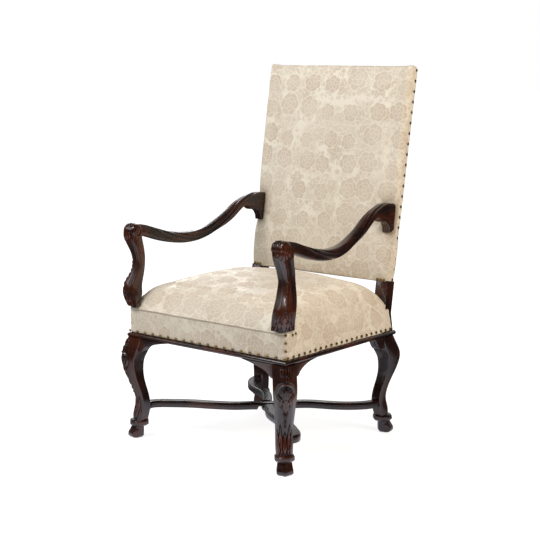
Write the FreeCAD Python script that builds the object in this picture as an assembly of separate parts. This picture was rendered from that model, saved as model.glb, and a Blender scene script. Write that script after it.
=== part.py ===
"""Upholstered armchair in walnut: carved cabriole legs, serpentine X stretcher and arms, stuffed seat and back.

Millimetres. +X is the chair's left as it sits, the viewer's right; -Y is the front; +Z is up.
The chair is built about the middle of its seat, then moved so that the origin is the middle of its
bounding box, on the floor. Right-hand pieces (+X) are modelled and mirrored to the left.
"""
import FreeCAD, Part
import math
import os

V = FreeCAD.Vector

# The chair as a whole
CHAIR_HEIGHT = 1170
SEAT_FRONT_WIDTH = 650
SEAT_REAR_WIDTH = 613.4
SEAT_DEPTH = 563.6
RAIL_BOTTOM = 326
RAIL_HEIGHT = 74
SEAT_EDGE_HEIGHT = 420
SEAT_CROWN_HEIGHT = 514

# Fits
GLUE_GAP = 0.1
CLOTH_GAP = 0.3
OVERRUN = 20

# Seat frame
RAIL_THICKNESS = 30
HEAD_SIDE = 50
HEAD_ROOT = 26
TENON_THICKNESS = 12
TENON_LENGTH = 24
TENON_SHOULDER = 12
BRACKET_LENGTH = 118
BRACKET_DROP = 42
BRACKET_SETBACK = 3
BRACKET_SHARES = [(0, 1), (0.05, 0.95), (0.12, 0.75), (0.25, 0.52), (0.46, 0.33), (0.75, 0.13), (1, 0)]
SHORT_BRACKET_LENGTH = 92
SHORT_BRACKET_DROP = 38
SHORT_BRACKET_SHARES = [(0, 1), (0.04, 0.97), (0.12, 0.75), (0.24, 0.51), (0.45, 0.26), (0.70, 0.09), (1, 0)]
REAR_BRACKET_LENGTH = 28
REAR_BRACKET_DROP = 34
REAR_BRACKET_SHARES = [(0, 1), (0.18, 0.86), (0.36, 0.66), (0.52, 0.45), (0.68, 0.27), (0.82, 0.10), (1, 0)]
REAR_EAR = 75
CORNER_BLOCK_LENGTH = 70
CORNER_BLOCK_HEIGHT = 40
CORNER_BLOCK_TOP_DROP = 18

# Bead moulding under the cover, and the cloth above it
BEAD_HEIGHT = 14
COVER_SETBACK = 6
COVER_THICKNESS = 4
BEAD_DEPTH = COVER_SETBACK + COVER_THICKNESS
MITRE_REACH = 60

# Cabriole leg: height share of the rail's underside, then outer, inner and half width as shares of the knee
KNEE_WIDTH = 51
LEG_PROFILE_SHARES = [
    (0.17, -0.34, -1.20, 0.49),
    (0.24, -0.36, -1.31, 0.51),
    (0.33, -0.48, -1.37, 0.51),
    (0.44, -0.39, -1.26, 0.53),
    (0.55, -0.13, -1.07, 0.58),
    (0.65, 0.14, -0.98, 0.64),
    (0.72, 0.29, -0.99, 0.68),
    (0.79, 0.37, -1.07, 0.70),
    (0.86, 0.31, -1.28, 0.70),
    (0.92, 0.15, -1.42, 0.70),
    (1.00, -0.08, -1.48, 0.70),
]
LEG_NOSE_SHARE = 0.20
LEG_NOSE_DEPTH_SHARE = 0.05
LEG_SWELL_SHARE = 0.04
ARRIS_SHARE = 0.05
ARRIS_PLACE_SHARE = 0.47
LEG_BACK_SHARE = 0.07
REAR_LEG_SPLAY = 41
REAR_LEG_THROW = 7
SPLAY_START_SHARE = 0.44

# Collar and hoof: height, outer, inner, half width
COLLAR_SIZE = 60
COLLAR_TOP = 58
COLLAR_BOTTOM = 38
COLLAR_CENTRE = 34.5
COLLAR_SHARES = [(1.0, 0.40), (0.80, 0.485), (0.30, 0.495), (0.0, 0.40)]
HOOF_LENGTH = 50
HOOF_CENTRE = 23
HOOF_LEAN = 8
HOOF_SHARES = [(1.15, 0.37, 0.41, 1.1), (0.78, 0.42, 0.45, 0.6), (0.42, 0.50, 0.49, 0.1),
               (0.16, 0.50, 0.49, 0.0), (0.0, 0.40, 0.40, 0.0)]
HOOF_RIDGE_SHARE = 0.30
OCTAGON_SHARE = 0.42

# X stretcher, in plan
STRETCHER_BOTTOM = 86
STRETCHER_THICKNESS = 22
STRETCHER_WIDTH = 30
STRETCHER_EDGE = 3
STRETCHER_CENTRE_SET_BACK = 15
STRETCHER_TENON_LENGTH = 20
STRETCHER_TENON_SIDE = 12
STRETCHER_FRONT_SHARES = [(0, 0), (0.085, 0.065), (0.17, 0.16), (0.275, 0.275), (0.40, 0.365), (0.505, 0.43),
                          (0.63, 0.50), (0.745, 0.58), (0.89, 0.705), (0.99, 0.81), (1.025, 0.90), (1, 1)]
STRETCHER_REAR_SHARES = [(0, 0), (0.08, 0.10), (0.20, 0.25), (0.36, 0.405), (0.53, 0.49),
                         (0.72, 0.585), (0.885, 0.72), (0.975, 0.85), (1.0, 0.94), (1, 1)]
STRETCHER_STEPS = 40

# Back
BACK_BOTTOM_HEIGHT = 493.4
BACK_SET_BACK = 275.6
BACK_BOTTOM_WIDTH = 567.5
BACK_TOP_WIDTH = 583
BACK_DEPTH = 36
BACK_RAKE = 9.1
BACK_CROWN = 19
BACK_EDGE_ROUND = 10
STILE_WIDTH = 46
STILE_REBATE = 8
BACK_RAIL_HEIGHT = 58
BACK_TENON_LENGTH = 20
BACK_TENON_HEIGHT = 40
PANEL_THICKNESS = 2

# Arms: share of the length, then of the sweep above the knuckle's centre, then of the depth
ARM_FRONT_SPAN = 605
ARM_REAR_SPAN = 532
ARM_FRONT_Y = -273
ARM_REAR_Y = 318
ARM_KNUCKLE_HEIGHT = 665.5
ARM_SWEEP = 56
ARM_DEPTH = 36
ARM_WIDTH = 35
ARM_SHARES = [
    (0.00, 0.02, 1.00),
    (0.057, -0.04, 1.02),
    (0.171, -0.39, 1.00),
    (0.314, -0.72, 0.99),
    (0.462, -0.74, 0.95),
    (0.597, -0.32, 0.86),
    (0.733, 0.41, 0.90),
    (0.834, 0.91, 1.00),
    (0.919, 1.06, 1.02),
    (1.00, 0.96, 1.00),
]
ARM_SPAN_SHARES = [(0, 0), (0.286, 0.12), (0.714, 0.78), (0.953, 1), (1, 1)]
ROUND_SHARE = 0.41
KNUCKLE_RADIUS = 20.5
KNUCKLE_WIDTH = 48
KNUCKLE_ROUND = 5
ARM_BLOCK_BOTTOM = 650
ARM_BLOCK_TOP = 722
ARM_BLOCK_FRONT_Y = 286
ARM_BLOCK_LENGTH = 66
ARM_BLOCK_COVE_SHARES = [(-1.23, 0.69), (-0.77, 0.56), (-0.47, 0.53), (-0.27, 0.465), (-0.136, 0.36),
                         (-0.045, 0.22), (0, 0.07)]
ARM_BLOCK_FOOT_SHARES = [(0.04, 0.01), (0.82, 0), (0.82, 1), (-1.23, 1)]
ARM_TENON_HEIGHT = 34

# Arm supports: height share, set-back, step inwards, half breadth across the outer front corner,
# and the depths towards that corner and away from it, as shares of the depth
SUPPORT_FOOT_HEIGHT = 427
SUPPORT_TOP_HEIGHT = 664
SUPPORT_FRONT_Y = -264
SUPPORT_FOOT_SPAN = 610
SUPPORT_TOP_SPAN = 606
SUPPORT_DEPTH = 40
SUPPORT_SHARES = [
    (0.000, -0.020, 0.136, 0.855, 0.635, 0.085),
    (0.083, -0.015, 0.102, 0.855, 0.836, 0.386),
    (0.167, -0.072, -0.010, 0.861, 0.860, 0.640),
    (0.250, -0.107, -0.127, 0.845, 0.739, 0.729),
    (0.333, 0.033, -0.110, 0.801, 0.680, 0.680),
    (0.417, 0.228, -0.019, 0.743, 0.566, 0.566),
    (0.500, 0.353, 0.056, 0.683, 0.492, 0.492),
    (0.583, 0.394, 0.073, 0.635, 0.485, 0.485),
    (0.667, 0.340, 0.085, 0.650, 0.510, 0.510),
    (0.750, 0.208, 0.061, 0.685, 0.571, 0.571),
    (0.833, 0.015, 0.032, 0.734, 0.646, 0.646),
    (0.917, -0.126, -0.015, 0.777, 0.700, 0.700),
    (1.000, -0.132, -0.017, 0.779, 0.703, 0.703),
]
SUPPORT_SIDE_SHARE = 0.54
SUPPORT_SIDE_GAIN = 0.8
SUPPORT_SIDE_START = 0.92
SUPPORT_SIDE_LIMIT = 0.72
SUPPORT_TENON_SIDE = 20
SUPPORT_TENON_LENGTH = 36
SUPPORT_STUB_SIDE = 15
SUPPORT_STUB_LENGTH = 22
SUPPORT_TENON_INSET = 30

# Seat upholstery: depth share, crown share above the edge, shoulder share of the boxing, corner round share
SEAT_SIDE_LEAN = 13
SEAT_STATION_SHARES = [
    (0.00, 0.04, 0.99, 0.92),
    (0.03, 0.25, 1.02, 0.94),
    (0.10, 0.62, 1.05, 0.97),
    (0.20, 0.80, 1.00, 0.97),
    (0.30, 0.89, 0.95, 0.97),
    (0.42, 0.95, 0.95, 0.97),
    (0.55, 0.98, 0.96, 0.97),
    (0.66, 1.00, 1.00, 0.94),
    (0.76, 1.00, 1.03, 0.91),
    (0.86, 0.88, 0.99, 0.84),
    (0.93, 0.64, 0.90, 0.76),
    (0.97, 0.42, 0.80, 0.64),
    (1.00, 0.15, 0.69, 0.50),
]
SIDE_STRIP_TOP = 407
SIDE_STRIP_REACH = 20
WELT_DIAMETER = 6
WELT_END_INSET = 8.5
WEBBING_WIDTH = 50
WEBBING_THICKNESS = 1
WEBBING_PITCH = 76
WEBBING_END_INSET = 16
HESSIAN_THICKNESS = 1
DUST_COVER_THICKNESS = 1
DUST_COVER_INSET = 35
DUST_COVER_CORNER = 84

# Back upholstery: height share, crown share
BACK_STATION_SHARES = [(0, 0.35), (0.03, 0.60), (0.10, 0.80), (0.22, 0.92), (0.36, 0.98), (0.5, 1),
                       (0.64, 0.98), (0.78, 0.92), (0.90, 0.80), (0.97, 0.60), (1, 0.35)]
BACK_CORNER_ROUND_SHARE = 0.72

# Upholstery nails
NAIL_DIAMETER = 10
NAIL_DOME = 3.2
NAIL_SHANK = 1.8
NAIL_LENGTH = 13
NAIL_ROW_RISE = 6.5
NAIL_ROW_ARCH = 3
NAIL_FRONT_PITCH = 33.4
NAIL_SIDE_PITCH = 27
NAIL_REAR_PITCH = 32
NAIL_BACK_PITCH = 33
NAIL_CORNER_PITCH = 23
NAIL_EDGE_INSET = 7
NAIL_CORNER_INSET = 2.2
NAIL_SIDE_INSET = 12
NAIL_LOWER_PITCH = 12.5
NAIL_LOWER_RISE = 5.8
NAIL_LOWER_STAND = 4.8
NAILS_LOWER = 3
NAILS_CORNER = 4

# Sizes that follow from the ones above
RAIL_TOP = RAIL_BOTTOM + RAIL_HEIGHT
FRONT_Y = -SEAT_DEPTH / 2
REAR_Y = SEAT_DEPTH / 2
TAPER = (SEAT_FRONT_WIDTH - SEAT_REAR_WIDTH) / 2 / SEAT_DEPTH
COVER_BOTTOM = RAIL_BOTTOM + BEAD_HEIGHT
RAKE = math.radians(BACK_RAKE)
BACK_HEIGHT = (CHAIR_HEIGHT - BACK_BOTTOM_HEIGHT) / math.cos(RAKE)
STILE_FRONT = STILE_REBATE
STILE_REAR = BACK_DEPTH - PANEL_THICKNESS
DIAGONAL = math.sqrt(0.5)
UP = V(0, 0, 1)


def side_x(y, inset):
    """Half width of the seat's plan at y, measured in from the outer line of the bead."""
    return SEAT_FRONT_WIDTH / 2 - TAPER * (y - FRONT_Y) - inset * math.hypot(1, TAPER)


def polygon(points):
    return Part.Face(Part.makePolygon(points + points[:1]))


def prism(outline, low, high):
    """A vertical prism on an outline of (x, y)."""
    return polygon([V(x, y, low) for x, y in outline]).extrude(UP * (high - low))


def box(x0, x1, y0, y1, z0, z1):
    return Part.makeBox(x1 - x0, y1 - y0, z1 - z0, V(x0, y0, z0))


def mirrored(shape):
    return shape.mirror(V(0, 0, 0), V(1, 0, 0))


def both(name, shape, nodes):
    nodes[name + "_right"] = shape
    nodes[name + "_left"] = mirrored(shape)


def spline(points):
    curve = Part.BSplineCurve()
    curve.interpolate(points)
    return curve


def arc(a, middle, b):
    return Part.Arc(a, middle, b).toShape()


def line(a, b):
    return Part.makeLine(a, b)


def back_frame(shape):
    """Moves a shape from the back's own frame: x across, y into the depth, z up its front face."""
    shape = shape.copy()
    turn = FreeCAD.Rotation(V(1, 0, 0), -BACK_RAKE)
    shape.Placement = FreeCAD.Placement(V(0, BACK_SET_BACK, BACK_BOTTOM_HEIGHT), turn).multiply(shape.Placement)
    return shape


def back_half(height):
    """Half width of the finished back at a height up its face."""
    share = max(0, height / BACK_HEIGHT)
    return (BACK_BOTTOM_WIDTH + (BACK_TOP_WIDTH - BACK_BOTTOM_WIDTH) * share) / 2


def crowned_wire(place, foot_half, side_half, foot, skirt, shoulder, crown, round_share):
    """A closed section: flat foot, upright skirt, straight sides, rounded shoulders and a crowned top."""
    radius = round_share * (crown - shoulder)
    low, high = 0, math.pi / 3
    for _ in range(60):
        tilt = (low + high) / 2
        reach = radius * math.cos(tilt) + (side_half - radius * (1 - math.sin(tilt))) * math.tan(tilt / 2)
        if reach < crown - shoulder:
            low = tilt
        else:
            high = tilt
    middle = (math.pi / 2 + (math.pi / 2 - tilt)) / 2
    turn = math.pi / 2 - tilt

    def on_round(angle, side):
        across = side_half - radius + radius * math.cos(angle)
        return place(side * across, shoulder + radius * math.sin(angle))

    half_turn = turn / 2
    right_foot, left_foot = place(foot_half, foot), place(-foot_half, foot)
    right_skirt, left_skirt = place(foot_half, skirt), place(-foot_half, skirt)
    right_side, left_side = place(side_half, shoulder), place(-side_half, shoulder)
    return Part.Wire([
        line(left_foot, right_foot),
        line(right_foot, right_skirt),
        line(right_skirt, right_side),
        arc(right_side, on_round(half_turn, 1), on_round(turn, 1)),
        arc(on_round(turn, 1), place(0, crown), on_round(turn, -1)),
        arc(on_round(turn, -1), on_round(half_turn, -1), left_side),
        line(left_side, left_skirt),
        line(left_skirt, left_foot),
    ])


def four_arc_wire(centre, across, up, width, depth):
    """A softly rounded section of four arcs."""
    a, b = across * (width * ROUND_SHARE), up * (depth * ROUND_SHARE)
    right, top = across * (width / 2), up * (depth / 2)
    corners = [centre - a - b, centre + a - b, centre + a + b, centre - a + b]
    middles = [centre - top, centre + right, centre + top, centre - right]
    return Part.Wire([arc(corners[i], middles[i], corners[(i + 1) % 4]) for i in range(4)])


class Corner:
    """The frame of one leg: s outward along the plan's diagonal, w across it, from the bead's corner."""

    def __init__(self, x, y, out_y, splay, throw):
        self.corner = V(x, y, 0)
        self.out = V(DIAGONAL, out_y * DIAGONAL, 0)
        self.across = V(-out_y * DIAGONAL, DIAGONAL, 0)
        self.splay = splay
        self.throw = throw

    def at(self, s, w, z):
        """A point of the leg; the lower leg stands off by the splay and the throw, its head does not."""
        share = (z / RAIL_BOTTOM - SPLAY_START_SHARE) / (1 - SPLAY_START_SHARE)
        bend = (1 + math.cos(math.pi * min(1, max(0, share)))) / 2
        out, across = s + self.throw * bend, w + self.splay * bend
        return self.corner + self.out * out + self.across * across + UP * z


FRONT_CORNER = Corner(SEAT_FRONT_WIDTH / 2, FRONT_Y, -1, 0, 0)
REAR_CORNER = Corner(SEAT_REAR_WIDTH / 2, REAR_Y, 1, REAR_LEG_SPLAY, REAR_LEG_THROW)


def leg_wire(corner, height, outer, inner, half):
    """One section of the shaft: a square set with the chair, its outer corner broadly rounded."""
    nose = LEG_NOSE_SHARE * KNEE_WIDTH
    nose_s = outer - LEG_NOSE_DEPTH_SHARE * KNEE_WIDTH
    middle = inner + (outer - inner) * ARRIS_PLACE_SHARE
    flat = ARRIS_SHARE * KNEE_WIDTH / 2
    back = LEG_BACK_SHARE * KNEE_WIDTH
    swell = LEG_SWELL_SHARE * KNEE_WIDTH

    def side(sign):
        bulge_s = (nose_s + middle + flat) / 2 + swell
        bulge_w = (nose + half) / 2 + swell
        return corner.at(bulge_s, sign * bulge_w, height)

    a, b = corner.at(nose_s, -nose, height), corner.at(nose_s, nose, height)
    c, d = corner.at(middle + flat, half, height), corner.at(middle - flat, half, height)
    e, f = corner.at(inner, back, height), corner.at(inner, -back, height)
    g, h = corner.at(middle - flat, -half, height), corner.at(middle + flat, -half, height)
    return Part.Wire([arc(a, corner.at(outer, 0, height), b), arc(b, side(1), c), line(c, d), line(d, e),
                      line(e, f), line(f, g), line(g, h), arc(h, side(-1), a)])


def leg_shaft(corner):
    wires = [leg_wire(corner, z * RAIL_BOTTOM, s * KNEE_WIDTH, i * KNEE_WIDTH, w * KNEE_WIDTH)
             for z, s, i, w in LEG_PROFILE_SHARES]
    return Part.makeLoft(wires, True, False)


def collar(corner):
    """Octagonal ring above the hoof."""
    wires = []
    for rise, half_share in COLLAR_SHARES:
        height = COLLAR_BOTTOM + rise * (COLLAR_TOP - COLLAR_BOTTOM)
        half = half_share * COLLAR_SIZE
        cut = OCTAGON_SHARE * half
        ring = [(half, -cut), (half, cut), (cut, half), (-cut, half),
                (-half, cut), (-half, -cut), (-cut, -half), (cut, -half)]
        points = [corner.at(s - COLLAR_CENTRE, w, height) for s, w in ring]
        wires.append(Part.makePolygon(points + points[:1]))
    return Part.makeLoft(wires, True, True)


def hoof(corner):
    """Goat's hoof, with a ridge towards the outside."""
    wires = []
    for rise, long_share, wide_share, lean_share in HOOF_SHARES:
        height = rise * COLLAR_BOTTOM
        long_half, wide_half = long_share * HOOF_LENGTH, wide_share * HOOF_LENGTH
        middle = -HOOF_CENTRE - lean_share * HOOF_LEAN
        ridge = HOOF_RIDGE_SHARE * HOOF_LENGTH
        heel = wide_half * OCTAGON_SHARE
        ring = [(long_half, 0), (long_half - ridge, wide_half), (ridge - long_half, wide_half),
                (-long_half, heel), (-long_half, -heel), (ridge - long_half, -wide_half),
                (long_half - ridge, -wide_half)]
        points = [corner.at(middle + s, w, height) for s, w in ring]
        wires.append(Part.makePolygon(points + points[:1]))
    return Part.makeLoft(wires, True, True)


def whole_leg(corner):
    return leg_shaft(corner).fuse([collar(corner), hoof(corner)])


def front_head(inside):
    """The square head of the front leg, behind the cloth, flush with the rails."""
    front = FRONT_Y + BEAD_DEPTH
    rear = front + HEAD_SIDE
    outline = [(side_x(front, BEAD_DEPTH), front), (side_x(rear, BEAD_DEPTH), rear),
               (side_x(rear, BEAD_DEPTH + HEAD_SIDE), rear), (side_x(front, BEAD_DEPTH + HEAD_SIDE), front)]
    return prism(outline, RAIL_BOTTOM - HEAD_ROOT, RAIL_TOP).common(inside)


def rear_head(inside):
    """The head of the rear leg: a raked block that carries the stile."""
    drop = (BACK_BOTTOM_HEIGHT - RAIL_BOTTOM + HEAD_ROOT + OVERRUN) / math.cos(RAKE)
    raked = back_frame(box(0, SEAT_REAR_WIDTH, BACK_DEPTH - HEAD_SIDE, BACK_DEPTH, -drop, 0))
    near, far = FRONT_Y, REAR_Y + HEAD_SIDE
    strip = prism([(side_x(near, BEAD_DEPTH), near), (side_x(far, BEAD_DEPTH), far),
                   (side_x(far, BEAD_DEPTH + HEAD_SIDE), far),
                   (side_x(near, BEAD_DEPTH + HEAD_SIDE), near)],
                  RAIL_BOTTOM - HEAD_ROOT, RAIL_TOP)
    return raked.common(strip).common(inside)


def stile_below(margin=0):
    """The bare stretch of stile between the seat and the back."""
    outer = BACK_BOTTOM_WIDTH / 2
    root = (BACK_BOTTOM_HEIGHT - RAIL_TOP + HEAD_ROOT) / math.cos(RAKE)
    return back_frame(box(outer - STILE_WIDTH - margin, outer + margin, -margin, BACK_DEPTH + margin,
                          -root, COVER_THICKNESS))


def stile_above():
    """The stile inside the back's upholstery, rebated on three sides and splayed with the back."""
    wires = []
    for height in (0, BACK_HEIGHT - COVER_THICKNESS):
        outer = back_half(height) - COVER_THICKNESS
        inner = outer - STILE_WIDTH + COVER_THICKNESS
        points = [V(outer, STILE_FRONT, height), V(outer, STILE_REAR, height),
                  V(inner, STILE_REAR, height), V(inner, STILE_FRONT, height)]
        wires.append(Part.makePolygon(points + points[:1]))
    return back_frame(Part.makeLoft(wires, True, True))


def rear_post(inside):
    return whole_leg(REAR_CORNER).fuse([rear_head(inside), stile_below(), stile_above()])


def bracket_face(place, start, inward, length=BRACKET_LENGTH, deep=BRACKET_DROP, shares=BRACKET_SHARES):
    """A bracket's outline: its lower curve, closed along the rail's underside and down the leg."""
    points = [place(start + inward * share * length, RAIL_BOTTOM - drop * deep) for share, drop in shares]
    root = place(start - inward * HEAD_SIDE / 2, RAIL_BOTTOM - deep)
    top = place(start - inward * HEAD_SIDE / 2, RAIL_BOTTOM)
    return Part.Face(Part.Wire([spline(points).toShape(), line(points[-1], top), line(top, root),
                                line(root, points[0])]))


def front_rail(leg):
    """Front rail with its two brackets, scribed to the legs, and its tenons."""
    head_inner = side_x(FRONT_Y + BEAD_DEPTH, BEAD_DEPTH + HEAD_SIDE)
    half = head_inner + HEAD_SIDE / 2
    front = FRONT_Y + BEAD_DEPTH
    rail = box(-half, half, front, front + RAIL_THICKNESS, RAIL_BOTTOM, RAIL_TOP)
    bracket_front = FRONT_Y + BRACKET_SETBACK
    face = bracket_face(lambda a, z: V(a, bracket_front, z), head_inner + STRETCHER_EDGE * 2, -1)
    bracket = face.extrude(V(0, RAIL_THICKNESS, 0))
    rail = rail.fuse([bracket, mirrored(bracket)]).cut(leg).cut(mirrored(leg))
    tenon = tenon_box(head_inner, front)
    return rail.fuse([tenon, mirrored(tenon)]).removeSplitter(), tenon


def tenon_box(inner_x, rail_front, gap=0):
    """A rail tenon that runs along x into a head whose inner face is at inner_x."""
    middle = rail_front + RAIL_THICKNESS / 2
    half = TENON_THICKNESS / 2 + gap
    return box(inner_x - TENON_SHOULDER, inner_x + TENON_LENGTH + gap, middle - half, middle + half,
               RAIL_BOTTOM + TENON_SHOULDER - gap, RAIL_TOP - TENON_SHOULDER + gap)


def rear_rail(post):
    """Rear rail, flush inside the cloth, between the rear posts."""
    rear = REAR_Y - COVER_THICKNESS
    inner = side_x(REAR_Y, BEAD_DEPTH + HEAD_SIDE)
    half = inner + HEAD_SIDE / 2
    rail = box(-half, half, rear - RAIL_THICKNESS, rear, RAIL_BOTTOM, RAIL_TOP)
    rail = rail.cut(post).cut(mirrored(post))
    solid = max(rail.Solids, key=lambda s: s.Volume)
    tenon = tenon_box(inner, rear - RAIL_THICKNESS)
    return solid.fuse([tenon, mirrored(tenon)]).removeSplitter(), tenon


def side_strip(inset, thickness, low, high):
    """A strip of plan along the seat's right side."""
    near, far = FRONT_Y, REAR_Y + HEAD_SIDE
    return prism([(side_x(near, inset), near), (side_x(far, inset), far),
                  (side_x(far, inset + thickness), far), (side_x(near, inset + thickness), near)], low, high)


def side_tenon(y0, y1, gap=0):
    inset = BEAD_DEPTH + (RAIL_THICKNESS - TENON_THICKNESS) / 2
    strip = side_strip(inset - gap, TENON_THICKNESS + gap * 2, RAIL_BOTTOM + TENON_SHOULDER - gap,
                       RAIL_TOP - TENON_SHOULDER + gap)
    return strip.common(box(0, SEAT_FRONT_WIDTH, y0 - gap, y1 + gap, 0, CHAIR_HEIGHT))


def side_rail(leg, post, inside):
    """Right side rail with its two brackets and tenons, its face leaning with the cloth."""
    near = FRONT_Y + BEAD_DEPTH + HEAD_SIDE
    far = BACK_SET_BACK - (BACK_BOTTOM_HEIGHT - RAIL_TOP) * math.tan(RAKE) + BACK_DEPTH - HEAD_SIDE
    reach = HEAD_SIDE / 2
    body = side_strip(BEAD_DEPTH, RAIL_THICKNESS, RAIL_BOTTOM, RAIL_TOP)
    body = body.common(box(0, SEAT_FRONT_WIDTH, near - reach, far + reach, 0, CHAIR_HEIGHT)).common(inside)
    band = side_strip(BRACKET_SETBACK, RAIL_THICKNESS, 0, CHAIR_HEIGHT)
    wide = V(SEAT_FRONT_WIDTH, 0, 0)
    rear_start = REAR_Y - REAR_EAR
    front_face = bracket_face(lambda a, z: V(0, a, z), near, 1, SHORT_BRACKET_LENGTH, SHORT_BRACKET_DROP,
                              SHORT_BRACKET_SHARES)
    rear_face = bracket_face(lambda a, z: V(0, a, z), rear_start, -1, REAR_BRACKET_LENGTH, REAR_BRACKET_DROP,
                             REAR_BRACKET_SHARES)
    front_bracket = front_face.extrude(wide).common(band)
    rear_bracket = rear_face.extrude(wide).common(band)
    rail = body.fuse([front_bracket, rear_bracket]).cut(leg).cut(post)
    rail = max(rail.Solids, key=lambda s: s.Volume)
    front_tenon = (near - TENON_LENGTH, near + TENON_SHOULDER)
    rear_tenon = (far - HEAD_ROOT, far + TENON_LENGTH - TENON_SHOULDER)
    rail = rail.fuse([side_tenon(*front_tenon), side_tenon(*rear_tenon)])
    return rail.removeSplitter(), front_tenon, rear_tenon


def bead_face(place):
    """The bead's section: a half round on a flat back."""
    radius = BEAD_HEIGHT / 2
    flat = BEAD_DEPTH - radius
    low, high = RAIL_BOTTOM, RAIL_BOTTOM + BEAD_HEIGHT
    a, b, c, d = place(0, low), place(flat, low), place(flat, high), place(0, high)
    return Part.Face(Part.Wire([line(a, b), arc(b, place(BEAD_DEPTH, low + radius), c), line(c, d), line(d, a)]))


def beads():
    """Front and right bead, mitred where they meet."""
    x, y = SEAT_FRONT_WIDTH / 2, FRONT_Y
    inward = V(-1 - TAPER / math.hypot(1, TAPER), 1 / math.hypot(1, TAPER), 0).normalize() * MITRE_REACH
    out_x, out_y = x - inward.x, y - inward.y
    in_x, in_y = x + inward.x, y + inward.y
    tall = RAIL_TOP
    long_front = bead_face(lambda out, z: V(-out_x, y + BEAD_DEPTH - out, z)).extrude(V(out_x * 2, 0, 0))
    front = long_front.common(prism([(out_x, out_y), (in_x, in_y), (-in_x, in_y), (-out_x, out_y)], 0, tall))
    near = y - MITRE_REACH
    length = REAR_Y + BEAD_DEPTH - near
    slope = V(-TAPER, 1, 0)
    start = V(side_x(near, BEAD_DEPTH), near, 0)
    outward = V(1, TAPER, 0).normalize()
    long_side = bead_face(lambda out, z: start + outward * out + UP * z).extrude(slope * length)
    far = REAR_Y + MITRE_REACH
    mask = prism([(out_x, out_y), (in_x, in_y), (0, in_y), (0, far), (out_x, far)], 0, tall)
    return front, long_side.common(mask)


def serpentine(quarter_x, quarter_y, sign, shares):
    """Points of one stretcher from the middle to a leg."""
    return [V(sign * x * quarter_x, STRETCHER_CENTRE_SET_BACK + y * quarter_y, 0) for x, y in shares]


def ankle(corner):
    """The shaft's section at the stretcher: centre offset along the diagonal and half width."""
    level = (STRETCHER_BOTTOM + STRETCHER_THICKNESS / 2) / RAIL_BOTTOM
    row = min(LEG_PROFILE_SHARES, key=lambda r: abs(r[0] - level))
    centre = corner.at((row[1] + row[2]) / 2 * KNEE_WIDTH, 0, 0)
    return centre, row[3] * KNEE_WIDTH * DIAGONAL


def stretcher_blank():
    """The left-front to right-rear serpentine before its lap and tenons, with the ends of its tenons."""
    front_centre, half = ankle(FRONT_CORNER)
    rear_centre, _ = ankle(REAR_CORNER)
    front_end = V(front_centre.x, front_centre.y + half, 0)
    rear_end = V(rear_centre.x, rear_centre.y - half, 0)
    middle = STRETCHER_CENTRE_SET_BACK
    bury = half / 2
    front_run = serpentine(front_end.x, front_end.y - bury - middle, -1, STRETCHER_FRONT_SHARES)
    rear_run = serpentine(rear_end.x, rear_end.y + bury - middle, 1, STRETCHER_REAR_SHARES)
    curve = spline(front_run[:0:-1] + rear_run)
    first, last = curve.FirstParameter, curve.LastParameter
    left, right = [], []
    for i in range(STRETCHER_STEPS + 1):
        at = first + (last - first) * i / STRETCHER_STEPS
        point, along = curve.value(at), curve.tangent(at)[0]
        normal = V(-along.y, along.x, 0).normalize() * (STRETCHER_WIDTH / 2)
        left.append(point + normal)
        right.append(point - normal)
    outline = Part.Wire([spline(left).toShape(), line(left[-1], right[-1]), spline(right[::-1]).toShape(),
                         line(right[0], left[0])])
    outline.translate(UP * STRETCHER_BOTTOM)
    blank = Part.Face(outline).extrude(UP * STRETCHER_THICKNESS)
    top = STRETCHER_BOTTOM + STRETCHER_THICKNESS
    rims = [e for e in blank.Edges
            if abs(e.BoundBox.ZMin - top) < GLUE_GAP and e.Length > STRETCHER_WIDTH * 2]
    return blank.makeChamfer(STRETCHER_EDGE, rims), front_end, rear_end


def stretcher_tenon(end, outward, gap=0):
    half = STRETCHER_TENON_SIDE / 2 + gap
    middle = STRETCHER_BOTTOM + STRETCHER_THICKNESS / 2
    y0, y1 = end.y - outward * TENON_SHOULDER, end.y + outward * (STRETCHER_TENON_LENGTH + gap)
    return box(end.x - half, end.x + half, min(y0, y1), max(y0, y1), middle - half, middle + half)


def arm_half(share):
    """Half of the span between the arms' centres at a share of their length."""
    rows = ARM_SPAN_SHARES
    for (a, p), (b, q) in zip(rows, rows[1:]):
        if share <= b:
            bend = p + (q - p) * (share - a) / (b - a)
            return (ARM_FRONT_SPAN + (ARM_REAR_SPAN - ARM_FRONT_SPAN) * bend) / 2
    return ARM_REAR_SPAN / 2


def arm_sweep():
    length = ARM_REAR_Y - ARM_FRONT_Y
    spine = [V(arm_half(a), ARM_FRONT_Y + a * length, ARM_KNUCKLE_HEIGHT + rise * ARM_SWEEP)
             for a, rise, _ in ARM_SHARES]
    curve = spline(spine)
    wires = []
    for point, row in zip(spine, ARM_SHARES):
        along = curve.tangent(curve.parameter(point))[0]
        across = along.cross(UP).normalize()
        wires.append(four_arc_wire(point, across, across.cross(along).normalize(), ARM_WIDTH, row[2] * ARM_DEPTH))
    return Part.makeLoft(wires, True, False)


def knuckle():
    half = KNUCKLE_WIDTH / 2
    centre = V(arm_half(0) - half, ARM_FRONT_Y, ARM_KNUCKLE_HEIGHT)
    roll = Part.makeCylinder(KNUCKLE_RADIUS, KNUCKLE_WIDTH, centre, V(1, 0, 0))
    rims = [e for e in roll.Edges if isinstance(e.Curve, Part.Circle)]
    return roll.makeFillet(KNUCKLE_ROUND, rims)


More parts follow.
